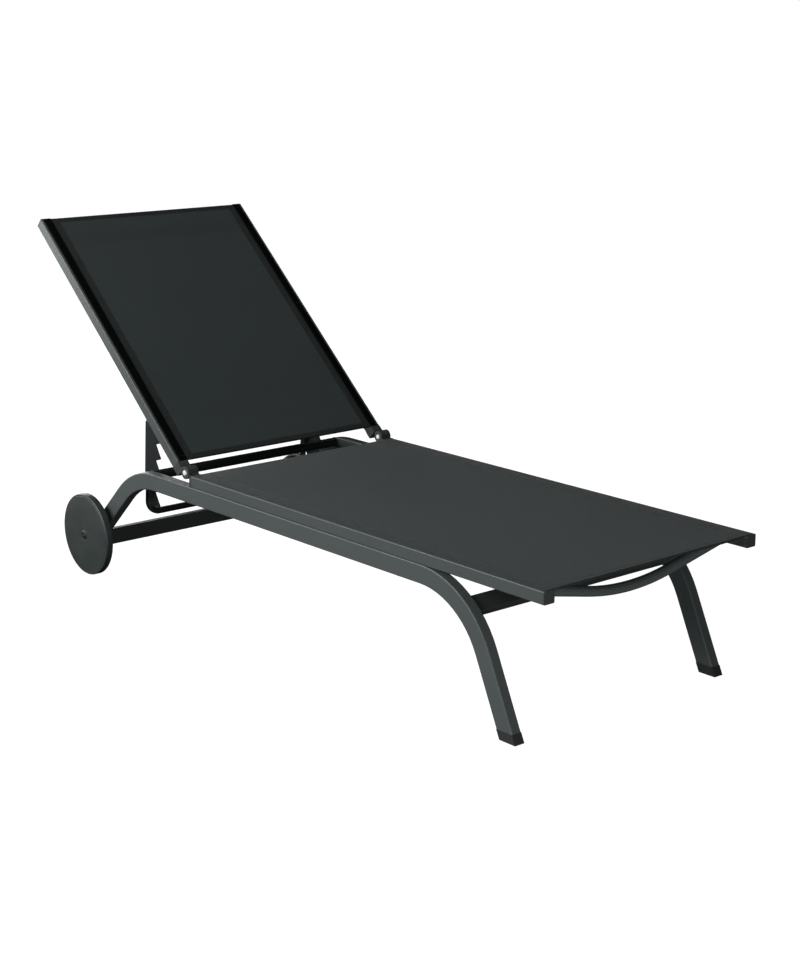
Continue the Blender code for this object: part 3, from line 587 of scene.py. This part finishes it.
def ring_tree():
    """Tree that repeats a shape round the Y axis, as the ribs behind a wheel's disc are."""
    tree, source = new_tree("Shape Round Axle", (("Count", "Int", 12),))
    count = (source, "Count")
    spots = add(tree, "GeometryNodeMeshLine", {"Count": count, "Offset": (0.0, 0.0, 0.0)})
    step = maths(tree, "DIVIDE", 2.0 * math.pi, count)
    turn = maths(tree, "MULTIPLY", (add(tree, "GeometryNodeInputIndex"), "Index"), step)
    rotation = add(tree, "FunctionNodeAxisAngleToRotation",
                   {"Axis": (0.0, 1.0, 0.0), "Angle": turn})
    placed = add(tree, "GeometryNodeInstanceOnPoints",
                 {"Points": (spots, "Mesh"), "Instance": (source, "Geometry"),
                  "Rotation": (rotation, "Rotation")})
    real = add(tree, "GeometryNodeRealizeInstances", {"Geometry": (placed, "Instances")})
    return give_out(tree, source, (real, "Geometry"))


TREES = {}


def repeated(mesh, builder, values):
    """Plain mesh of a repeating tree run on a base mesh."""
    if builder not in TREES:
        TREES[builder] = builder()
    thing = loose(mesh)
    nodes = thing.modifiers.new("repeat", "NODES")
    nodes.node_group = TREES[builder]
    for item in TREES[builder].interface.items_tree:
        if item.in_out == "INPUT" and item.name in values:
            nodes[item.identifier] = values[item.name]
    return baked(thing)


def beads(lines, up, pitch, size, finish, uneven, closed=False):
    """Beads strung along each line of points."""
    points, edges = [], []
    for line in lines:
        start = len(points)
        points += line
        edges += [(start + at, start + at + 1) for at in range(len(line) - 1)]
        if closed:
            edges.append((start + len(line) - 1, start))
    return repeated(mesh_of(points, edges=edges), bead_row_tree,
                    {"Pitch": pitch, "Bead Size": size, "Up": tuple(up),
                     "Unevenness": uneven, "Finish": finish})


# ---- slings --------------------------------------------------------------------------------
# The ends of a sling are the (x, radius) of its two rods, head end first.
HEM_LIP = 0.010              # rod to the seam that closes the hem round it
HEM_REACH = 0.014            # rod to the cut edge of the end hem
SLACK = 0.0001               # between the cloth and what it lies on
GROOVE_BEND = 0.0015         # radius of the cloth's bend into a keder groove
GROOVE_DROP = 0.0029         # how far the cloth reaches down into the groove
EDGE_RUN = 0.014             # length over which the cloth on the rails runs on past a rod
ROD_WIDTH = RAIL_INNER_Y - 0.0010    # half width of the cloth where it goes round a rod
UNDER_GAP = 0.00015          # between the two layers of a side hem
WRAP_GAP = 0.0002            # between the two layers of an end hem
STRIP_START = 0.022          # rod to the ends of a side hem's under layer
STRIP_EDGE = 0.0008          # under layer of a side hem to the rail beside it
SIDE_SEAMS = (0.0030, 0.0090)        # seams of a side hem, from the hem's edge
SEAM_START = 0.020           # rod to the ends of the side seams
END_SEAM = 0.0108            # rod to the seam across the cloth
CLOTH_ROWS = 84
SEAT_SHADES = (0.85, 1.0)    # how bright the seat's hems, and its cloth over the rails, stay under their painted shade: 1 is no painted shade
BACK_SHADES = (0.30, 0.0)    # the same on the backrest


def cloth_level(thick):
    """Height of the middle of the cloth where it lies on the rails and the rods."""
    return DECK + SLACK + thick / 2.0


def sag_at(ends, sag, x, y):
    """Depth of a sling below its edges."""
    (first, _), (last, _) = ends
    run = min(1.0, max(0.0, (x - first) / (last - first)))
    share = min(1.0, abs(y) / RAIL_INNER_Y)
    return sag * (1.0 - (2.0 * run - 1.0) ** 4) * (1.0 - share ** 2)


def hem_rows(end, inward, thick):
    """(x, z, False) of the cloth's middle from the cut edge of an end hem, round the rod."""
    rod_x, radius = end
    level = cloth_level(thick)
    wrap = radius + thick / 2.0 + SLACK
    rod_z = level - wrap
    under = level - thick - WRAP_GAP
    reach = math.hypot(HEM_LIP, under - rod_z)
    tangent = math.degrees(math.atan2(under - rod_z, HEM_LIP) - math.acos(wrap / reach))
    rows = [(HEM_REACH, under), (HEM_LIP, under)]
    rows += fillet((0.0, rod_z), wrap, tangent, -270.0, 14)
    return [(rod_x + inward * x, z, False) for x, z in rows[:-1]]


def sling_rows(ends, thick):
    """Rows of the cloth from cut edge to cut edge, each (x, z, whether it lies on the rails)."""
    (start, _), (end, _) = ends
    stops = {start + (end - start) * step / CLOTH_ROWS for step in range(1, CLOTH_ROWS)}
    for step in (0.001, 0.003, 0.006, 0.010):
        stops |= {start + step, end - step}
    level = cloth_level(thick)
    return (hem_rows(ends[0], 1.0, thick) +
            [(x, level, True) for x in (start, *sorted(stops), end)] +
            hem_rows(ends[1], -1.0, thick)[::-1])


def sling_columns(hem_edge):
    """Columns of half a sling, middle to edge, each (y, drop, distance over the cloth)."""
    bend = KEDER_Y - 0.0001 - GROOVE_BEND
    flat = [hem_edge * math.sin(math.pi / 2.0 * step / 14) for step in range(15)]
    flat += [hem_edge + 0.0035, ROD_WIDTH, RAIL_INNER_Y, RAIL_INNER_Y + 0.003]
    flat += [RAIL_INNER_Y + (bend - RAIL_INNER_Y) * step / 4 for step in (2, 3, 4)]
    columns = [(y, 0.0, y) for y in sorted({round(y, 6) for y in flat})]
    for turn in (math.radians(angle) for angle in (22.5, 45.0, 67.5, 90.0)):
        columns.append((bend + GROOVE_BEND * math.sin(turn), GROOVE_BEND * (1.0 - math.cos(turn)),
                        bend + GROOVE_BEND * turn))
    tail = GROOVE_DROP - GROOVE_BEND
    columns.append((columns[-1][0], GROOVE_DROP, columns[-1][2] + tail))
    return columns


def run_on(ends, x):
    """Shift of the cloth on the rails near a rod, so that it runs on past the rod."""
    shift = 0.0
    for (rod_x, radius), inward in zip(ends, (1.0, -1.0)):
        near = 1.0 - inward * (x - rod_x) / EDGE_RUN
        if near > 0.0:
            shift -= inward * radius * near
    return shift


def cloth_mesh(points, cloth, wide, kept=lambda row, at: True):
    """Grid of cloth that many points wide, with its UV map in metres, less what isn't kept."""
    faces = [(row * wide + at, row * wide + at + 1, (row + 1) * wide + at + 1,
              (row + 1) * wide + at) for row in range(len(points) // wide - 1)
             for at in range(wide - 1) if kept(row, at)]
    mesh = mesh_of(points, faces)
    layer = mesh.uv_layers.new(name="cloth")
    for loop in mesh.loops:
        layer.data[loop.index].uv = cloth[loop.vertex_index]
    edit = bmesh.new()
    edit.from_mesh(mesh)
    lone = [point for point in edit.verts if not point.link_faces]
    bmesh.ops.delete(edit, geom=lone, context="VERTS")
    edit.to_mesh(mesh)
    edit.free()
    mesh.shade_smooth()
    return mesh


def sling_mesh(ends, hem_edge, sag, thick, place):
    """Open surface of a sling, with half its length and half its width over the cloth."""
    rows = sling_rows(ends, thick)
    half = sling_columns(hem_edge)
    columns = [(-y, drop, -reach) for y, drop, reach in reversed(half[1:])] + half
    lengths = [0.0]
    for (x0, z0, _), (x1, z1, _) in zip(rows, rows[1:]):
        lengths.append(lengths[-1] + math.hypot(x1 - x0, z1 - z0))
    half_length = lengths[-1] / 2.0
    points, cloth = [], []
    for (x, z, on_rails), length in zip(rows, lengths):
        for y, drop, reach in columns:
            shift = run_on(ends, x) if on_rails and abs(y) >= RAIL_INNER_Y - 0.0001 else 0.0
            points.append(place @ Vector((x + shift, y, z - drop - sag_at(ends, sag, x, y))))
            cloth.append((reach, length - half_length + shift))

    def kept(row, at):
        outer = max(abs(columns[at][0]), abs(columns[at + 1][0]))
        return (rows[row][2] and rows[row + 1][2]) or outer <= ROD_WIDTH + 0.00001

    return cloth_mesh(points, cloth, len(columns), kept), half_length, half[-1][2]


def hem_mesh(ends, hem_edge, sag, thick, place, side):
    """Under layer of a side hem beside its rail, just below the sling."""
    level = cloth_level(thick) - thick - UNDER_GAP
    start, end = ends[0][0] + STRIP_START, ends[1][0] - STRIP_START
    reach = RAIL_INNER_Y - STRIP_EDGE - hem_edge
    points, cloth = [], []
    rows, columns = 60, 6
    for row in range(rows + 1):
        x = start + (end - start) * row / rows
        for column in range(columns + 1):
            y = hem_edge + reach * column / columns
            points.append(place @ Vector((x, side * y, level - sag_at(ends, sag, x, y))))
            cloth.append((side * y, x))
    return cloth_mesh(points, cloth, columns + 1)


def give_thickness(thing, thick):
    shell = thing.modifiers.new("cloth", "SOLIDIFY")
    shell.thickness = thick
    shell.offset = 0.0
    shell.use_even_offset = True


def seam_lines(ends, hem_edge, sag, thick, place):
    """Lines of the seams on a sling, above and below it."""
    level = cloth_level(thick)
    above, below = thick / 2.0, -1.5 * thick
    lines = []

    def sew(spots, offset):
        lines.append([place @ Vector((x, y, level + offset - sag_at(ends, sag, x, y)))
                      for x, y in spots])

    start, end = ends[0][0] + SEAM_START, ends[1][0] - SEAM_START
    for side in (1.0, -1.0):
        for y in (side * (hem_edge + inset) for inset in SIDE_SEAMS):
            for offset in (above, below - UNDER_GAP):
                sew([(start + (end - start) * step / 40, y) for step in range(41)], offset)
    for (rod_x, _), inward in zip(ends, (1.0, -1.0)):
        for offset, reach in ((above, KEDER_Y - 0.005), (below - WRAP_GAP, hem_edge)):
            sew([(rod_x + inward * END_SEAM, reach * step / 24) for step in range(-24, 25)],
                offset)
    return lines


def hang_sling(key, body, place, rods, x_of, colour, shades):
    """One sling with its hems and seams, between its rails and rods."""
    settings = bpy.context.scene.lounger_sling
    thick, sag = settings.thick, settings.sag
    ends = [(x_of(rod), bar_radius(rod)) for rod in rods]
    hem_edge = KEDER_Y - settings.hem
    mesh, half_length, half_width = sling_mesh(ends, hem_edge, sag, thick, place)
    end_hem = 2.0 * HEM_REACH + math.pi * ends[0][1]
    cloth = woven_cloth(key + "_weave", tuple(colour), settings.yarn, hem_edge, half_length,
                        end_hem, shades, settings.glow)
    sling = finished(key + "_cloth", mesh, cloth, body, [key + "_sling"])
    give_thickness(sling, thick)
    for name, side in SIDES:
        strip = finished(f"{key}_hem_{name}", hem_mesh(ends, hem_edge, sag, thick, place, side),
                         cloth, body)
        give_thickness(strip, thick)
    thread = twisted_thread(key + "_thread", tuple(settings.thread_colour))
    normal = place.to_3x3() @ Vector((0.0, 0.0, 1.0))
    seams = beads(seam_lines(ends, hem_edge, sag, thick, place), normal, settings.stitch,
                  (settings.stitch * 0.82, 0.0008, 0.0005), thread, 0.06)
    finished(key + "_seams", seams, thread, body)


# ---- wheels --------------------------------------------------------------------------------
def wheel_profile(radius, deep, rim_fillet):
    """(radius, height) of the wheel, height 0 at the hub's outer face and negative inboard."""
    dome, skin = 0.0030, 0.0032
    bore, hub, rim_back = 0.0062, 0.0170, -0.0210
    dish, lift = 0.0142, 0.0002
    face = [(bore, 0.0), (0.0126, 0.0), (0.0128, -0.0007), (0.0138, -0.0007), (dish, lift)]
    face += [(dish + (radius - 0.0062 - dish) * step / 14, lift - dome * (step / 14) ** 2.2)
             for step in range(1, 15)]
    face += [(radius - 0.0056, -dome - 0.0004), (radius - 0.0050, -dome - 0.0003)]
    rim = fillet((radius - rim_fillet, -dome - rim_fillet), rim_fillet, 90.0, 0.0, 8)
    back = fillet((radius - 0.0016, rim_back + 0.0016), 0.0016, 0.0, -90.0, 4)
    inside = [(radius - 0.0046, rim_back), (radius - 0.0054, rim_back + 0.0006),
              (radius - 0.0066, -dome - skin - 0.0030), (radius - 0.0090, -dome - skin)]
    disc_back = [(0.064, -skin - 0.0012), (hub + 0.004, -skin), (hub + 0.0006, -skin - 0.003),
                 (hub, -deep + 0.0008), (hub - 0.0008, -deep), (bore, -deep)]
    return face + rim + back + inside + disc_back


def rib_mesh(radius, deep):
    """One tapered rib from the hub to the rim, behind the disc, thickness along X."""
    outline = [(0.0165, -0.0028), (0.0165, -deep + 0.0060), (0.030, -deep + 0.0140),
               (radius - 0.0150, -0.0120), (radius - 0.0062, -0.0120), (radius - 0.0062, -0.0052)]
    return prism(*([(face, height, reach) for reach, height in outline]
                   for face in (0.0010, -0.0010)))


def hub_cap_mesh():
    """Small domed cap with three curved recesses round its middle."""
    cap = turned([(0.0, 0.0030), (0.0028, 0.0031), (0.0060, 0.0029), (0.0090, 0.0024),
                  (0.0105, 0.0017), (0.0113, 0.0008), (0.0114, 0.0001), (0.0, 0.0001)], 72)
    for start in (18.0, 138.0, 258.0):
        outline = (fillet((0.0, 0.0), 0.0082, start, start + 84.0, 12) +
                   fillet((0.0, 0.0), 0.0046, start + 84.0, start, 12))
        pocket = loose(closed_and_outward(prism(*([(x, y, level) for x, y in outline]
                                                  for level in (0.0011, 0.0050)))))
        whole = loose(cap)
        cut = whole.modifiers.new("recess", "BOOLEAN")
        cut.operation = "DIFFERENCE"
        cut.object = pocket
        cap = baked(whole)
        bpy.data.objects.remove(pocket, do_unlink=True)
    return cap


# ---- weld beads ----------------------------------------------------------------------------
WELD_SIZE = (0.0032, 0.0026, 0.0024)
WELD_PITCH = 0.0017
WELD_STAND = 0.0008          # weld line to the face that a bar is welded to
CROSSBAR = (0.040, 0.020)    # height and depth of a crossbar's section
FRONT_BAR_TURN = math.radians(128.0)
BOW_RADIUS = 0.0108
BOW_WELD_RADIUS = 0.0112
STRETCHER_RADIUS = 0.0090


def round_loop(centre, y, radius):
    spots = [around(radius, 360.0 * step / 40) for step in range(40)]
    return [Vector((centre.x + x, y, centre.z + z)) for x, z in spots]


def rectangle_loop(centre, y, section, turn):
    """Rounded rectangle round a bar's end, turned about Y."""
    high, deep = section
    corner = 0.003
    points = []
    for quarter, (across, level) in enumerate(((1, 1), (-1, 1), (-1, -1), (1, -1))):
        place = (across * (deep / 2.0 - corner), level * (high / 2.0 - corner))
        points += fillet(place, corner, 90.0 * quarter, 90.0 * quarter + 90.0, 3)
    ways = Matrix.Translation((centre.x, y, centre.z)) @ Matrix.Rotation(turn, 4, "Y")
    return [ways @ Vector((x, 0.0, z)) for x, z in points]


# ---- operators -----------------------------------------------------------------------------
class LOUNGER_OT_coat_frame(bpy.types.Operator):
    """Powder coat the tubes, rails, bars and castings"""
    bl_idname = "lounger.coat_frame"
    bl_label = "Coat Frame"

    def execute(self, context):
        settings = context.scene.lounger_coat
        colour = tuple(settings.coat_colour)
        bars = ["front_crossbar", "rear_crossbar", "back_stretcher", *pairs("prop_bracket")]
        for name, share, duller, nodes in (
                ("tube_coat", 1.0, 0.0, pairs("side_tube")),
                # The bow's coat is a lighter copy of the tube coat: painted light in place of the
                # light thrown up onto the bow.
                ("bow_coat", 1.35, -0.16, ["foot_bow"]),
                ("rail_coat", 0.92, 0.0, pairs("seat_rail", "back_rail")),
                # The bars' coat is a darker copy of the tube coat: painted shade for bars that sit
                # in shade.
                ("bar_coat", 0.45, 0.04, bars)):
            repaint(nodes, powder_coat(name, shaded(colour, share), settings.gloss + duller,
                                       settings.grain))
        castings = cast_coat("casting_coat", shaded(colour, 0.55), settings.gloss + 0.04)
        repaint(pairs("hinge_base", "hinge_arm"), castings)
        lacquer = powder_coat("black_lacquer", tuple(settings.lacquer_colour), 0.34, 0.0008,
                              edge_light=1.8)
        repaint(["catch_bar", "prop_tube", "seat_rod_head", "seat_rod_foot", "back_rod_top",
                 "back_rod_lower", *pairs("ratchet_plate")], lacquer)
        return {"FINISHED"}


class LOUNGER_OT_finish_fittings(bpy.types.Operator):
    """Give the bolts, pins, caps, shoes and cords their steel and plastic"""
    bl_idname = "lounger.finish_fittings"
    bl_label = "Finish Fittings"

    def execute(self, context):
        settings = context.scene.lounger_coat
        steel, cap = tuple(settings.steel_colour), tuple(settings.cap_colour)
        repaint(pairs("prop_bolt", "axle_bolt", "rail_screw_front", "rail_screw_rear",
                      "plate_rivet"), turned_steel("plated_steel", steel))
        # Pins and leg bolts: a paler, less metallic steel whose brightness is a painted reflection
        # of the white room.
        repaint(pairs("hinge_pin", "leg_bolt"),
                turned_steel("pale_zinc", shaded(steel, 1.25), 0.35, 0.42))
        repaint(pairs("seat_rail_cap", "back_rail_cap", "tube_plug"),
                grained_plastic("cap_plastic", cap, 0.45))
        repaint(pairs("foot_shoe"), grained_plastic("shoe_plastic", shaded(cap, 0.48), 0.50))
        repaint(pairs("prop_bush", "axle_spacer", "seat_keder", "back_keder"),
                grained_plastic("black_plastic", tuple(settings.plastic_colour), 0.48))
        return {"FINISHED"}


class LOUNGER_OT_hang_seat_sling(bpy.types.Operator):
    """Stretch the seat sling between its rails and rods"""
    bl_idname = "lounger.hang_seat_sling"
    bl_label = "Hang Seat Sling"

    def execute(self, context):
        hang_sling("seat", "base_frame", SEAT_PLACE, ["seat_rod_head", "seat_rod_foot"], seat_x,
                   context.scene.lounger_sling.seat_colour, SEAT_SHADES)
        return {"FINISHED"}


class LOUNGER_OT_hang_back_sling(bpy.types.Operator):
    """Stretch the backrest sling between its rails and rods"""
    bl_idname = "lounger.hang_back_sling"
    bl_label = "Hang Backrest Sling"

    def execute(self, context):
        hang_sling("back", "backrest", BACK_PLACE, ["back_rod_top", "back_rod_lower"], flat_back_x,
                   context.scene.lounger_sling.back_colour, BACK_SHADES)
        return {"FINISHED"}


class LOUNGER_OT_mould_wheels(bpy.types.Operator):
    """Mould the wheels with their rims, ribs and hub caps"""
    bl_idname = "lounger.mould_wheels"
    bl_label = "Mould Wheels"

    def execute(self, context):
        settings = context.scene.lounger_wheel
        colour = tuple(settings.colour)
        for name, side in SIDES:
            axle = AXLE[name]
            low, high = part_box("wheel_" + name)
            outer = max(abs(low.y), abs(high.y))
            deep = outer - min(abs(low.y), abs(high.y))
            radius = (high.z - low.z) / 2.0
            body = f"wheel_{name}_unit"
            ways = Matrix.Translation((0.0, side * outer, 0.0)) @ axle_ways(axle, side)
            plastic = wheel_plastic("wheel_plastic_" + name, colour, axle)
            wheel = turned(wheel_profile(radius, deep, settings.rim_fillet), 128)
            wheel.transform(ways)
            finished("wheel_disc_" + name, closed_and_outward(wheel), plastic, body,
                     ["wheel_" + name])
            ribs = repeated(rib_mesh(radius, deep), ring_tree,
                            {"Count": settings.ribs, "Finish": plastic})
            ribs.transform(Matrix.Translation((axle.x, side * outer, axle.z)) @
                           Matrix.Scale(side, 4, (0.0, 1.0, 0.0)))
            finished("wheel_ribs_" + name, closed_and_outward(ribs), plastic, body)
            cap_plastic = grained_plastic("hub_plastic_" + name, shaded(colour, 0.55), 0.45)
            cap = hub_cap_mesh()
            cap.transform(ways)
            finished("hub_cap_face_" + name, closed_and_outward(cap), cap_plastic, body,
                     ["hub_cap_" + name])
        return {"FINISHED"}


class LOUNGER_OT_weld_bars(bpy.types.Operator):
    """Lay weld beads where the bars and the bow meet the tubes and rails"""
    bl_idname = "lounger.weld_bars"
    bl_label = "Weld Bars"

    def execute(self, context):
        settings = context.scene.lounger_coat
        weld = powder_coat("weld_coat", shaded(tuple(settings.coat_colour), 0.6), 0.45,
                           settings.grain)
        bow_end = Vector((BOW.x, 0.0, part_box("foot_bow")[1].z - BOW_RADIUS))
        base_loops, back_loops = [], []
        for _, side in SIDES:
            at_tube = side * (TUBE_INNER_Y - WELD_STAND)
            at_rail = side * (RAIL_INNER_Y - WELD_STAND)
            base_loops += [
                round_loop(middle("catch_bar"), at_tube, bar_radius("catch_bar")),
                rectangle_loop(middle("rear_crossbar"), at_tube, CROSSBAR, 0.0),
                rectangle_loop(middle("front_crossbar"), at_tube, CROSSBAR, FRONT_BAR_TURN),
                round_loop(bow_end, at_rail, BOW_WELD_RADIUS)]
            back_loops.append(round_loop(middle("back_stretcher"), at_rail, STRETCHER_RADIUS))
        for key, loops, body in (("frame_welds", base_loops, "base_frame"),
                                 ("back_welds", back_loops, "backrest")):
            mesh = beads(loops, (0.0, 1.0, 0.0), WELD_PITCH, WELD_SIZE, weld, 0.18, closed=True)
            finished(key, mesh, weld, body)
        return {"FINISHED"}


BOW = middle("foot_bow")
LAMPS = (("side", (-0.6, -3.2, 2.0), (0.0, 0.0, 0.35), (4.6, 1.6)),     # name, place, aim, size
         ("top", (-0.6, 0.6, 3.2), (0.0, 0.0, 0.30), (3.6, 2.6)),
         ("head", (-3.6, -0.3, 0.95), (0.0, 0.0, 0.30), (4.2, 1.5)),
         ("foot", (3.2, -1.0, 0.45), (0.0, 0.0, 0.30), (1.6, 0.6)),
         ("bounce", (BOW.x + 1.1, -0.9, -0.70), BOW, (1.0, 0.35)))
FLOOR_HALF = 40.0
FLOOR_GLOW = 1.06            # just past white, so that the floor and the room look as one
CAMERA_PLACE = (HINGE.x + 3.421, -2.564, 1.337)
CAMERA_TURN = math.radians(49.62)
CAMERA_DROP = math.radians(14.42)


class LOUNGER_OT_set_stage(bpy.types.Operator):
    """Lay the floor and set the lamps and the camera"""
    bl_idname = "lounger.set_stage"
    bl_label = "Set Stage"

    def execute(self, context):
        settings = context.scene.lounger_stage
        scene = context.scene
        scene.view_settings.view_transform = "Standard"
        world = bpy.data.worlds.new("pale_room")
        scene.world = world
        world.use_nodes = True
        background = world.node_tree.nodes["Background"]
        background.inputs["Color"].default_value = (1.0, 1.0, 1.0, 1.0)
        background.inputs["Strength"].default_value = 1.0
        world.cycles_visibility.diffuse = False
        world.cycles_visibility.glossy = False
        world.cycles_visibility.transmission = False

        corners = ((-1, -1), (1, -1), (1, 1), (-1, 1))
        floor_mesh = mesh_of([(FLOOR_HALF * x, FLOOR_HALF * y, 0.0) for x, y in corners],
                             [(0, 1, 2, 3)])
        floor = bpy.data.objects.new("studio_floor", floor_mesh)
        scene.collection.objects.link(floor)
        floor_mesh.materials.append(floor_paint(tuple(settings.floor_colour)))
        floor.visible_diffuse = False
        floor.visible_glossy = False
        floor.visible_shadow = False

        for name, place, aim, size in LAMPS:
            soft_lamp(name + "_lamp", place, Vector(aim), size, getattr(settings, name + "_power"))

        camera = bpy.data.objects.new("camera", bpy.data.cameras.new("camera"))
        scene.collection.objects.link(camera)
        camera.data.lens = settings.lens
        camera.data.sensor_width = 36.0
        level = math.cos(CAMERA_DROP)
        forward = Vector((-math.sin(CAMERA_TURN) * level, math.cos(CAMERA_TURN) * level,
                          -math.sin(CAMERA_DROP)))
        camera.rotation_euler = forward.to_track_quat("-Z", "Y").to_euler()
        camera.location = CAMERA_PLACE
        camera.data.clip_end = 200.0
        scene.camera = camera
        return {"FINISHED"}


def floor_paint(colour):
    """Pale matt floor that glows evenly, so that it looks the same all over."""
    made, tree, shader = new_finish("floor_paint")
    feed(tree, shader, {
        "Base Color": (*shaded(colour, 0.14), 1.0), "Roughness": 0.9, "Specular IOR Level": 0.0,
        "Emission Color": (*colour, 1.0), "Emission Strength": FLOOR_GLOW})
    return made


def soft_lamp(name, place, aim, size, power):
    lamp = bpy.data.lights.new(name, "AREA")
    lamp.shape = "RECTANGLE"
    lamp.size, lamp.size_y = size
    lamp.energy = power
    thing = bpy.data.objects.new(name, lamp)
    bpy.context.scene.collection.objects.link(thing)
    thing.location = place
    thing.rotation_euler = (aim - Vector(place)).to_track_quat("-Z", "Y").to_euler()
    thing.visible_camera = False


class LOUNGER_PT_panel(bpy.types.Panel):
    """Operators and settings of the lounger"""
    bl_idname = "LOUNGER_PT_panel"
    bl_label = "Sun Lounger"
    bl_space_type = "VIEW_3D"
    bl_region_type = "UI"
    bl_category = "Lounger"

    def draw(self, context):
        for key, group in SETTINGS:
            box = self.layout.box()
            for name in group.__annotations__:
                box.prop(getattr(context.scene, key), name)
        for operator in OPERATORS:
            self.layout.operator(operator.bl_idname)


SETTINGS = (("lounger_coat", LoungerCoatSettings), ("lounger_sling", LoungerSlingSettings),
            ("lounger_wheel", LoungerWheelSettings), ("lounger_stage", LoungerStageSettings))
OPERATORS = (LOUNGER_OT_set_stage, LOUNGER_OT_coat_frame, LOUNGER_OT_finish_fittings,
             LOUNGER_OT_hang_seat_sling, LOUNGER_OT_hang_back_sling, LOUNGER_OT_mould_wheels,
             LOUNGER_OT_weld_bars)


def register():
    for name, group in SETTINGS:
        bpy.utils.register_class(group)
        setattr(bpy.types.Scene, name, PointerProperty(type=group))
    for thing in (*OPERATORS, LOUNGER_PT_panel):
        bpy.utils.register_class(thing)


def unregister():
    for thing in reversed((*OPERATORS, LOUNGER_PT_panel)):
        bpy.utils.unregister_class(thing)
    for name, group in reversed(SETTINGS):
        delattr(bpy.types.Scene, name)
        bpy.utils.unregister_class(group)


def main():
    register()
    bpy.ops.lounger.set_stage()
    bpy.ops.lounger.coat_frame()
    bpy.ops.lounger.finish_fittings()
    bpy.ops.lounger.hang_seat_sling()
    bpy.ops.lounger.hang_back_sling()
    bpy.ops.lounger.mould_wheels()
    bpy.ops.lounger.weld_bars()


if __name__ == "__main__":
    main()
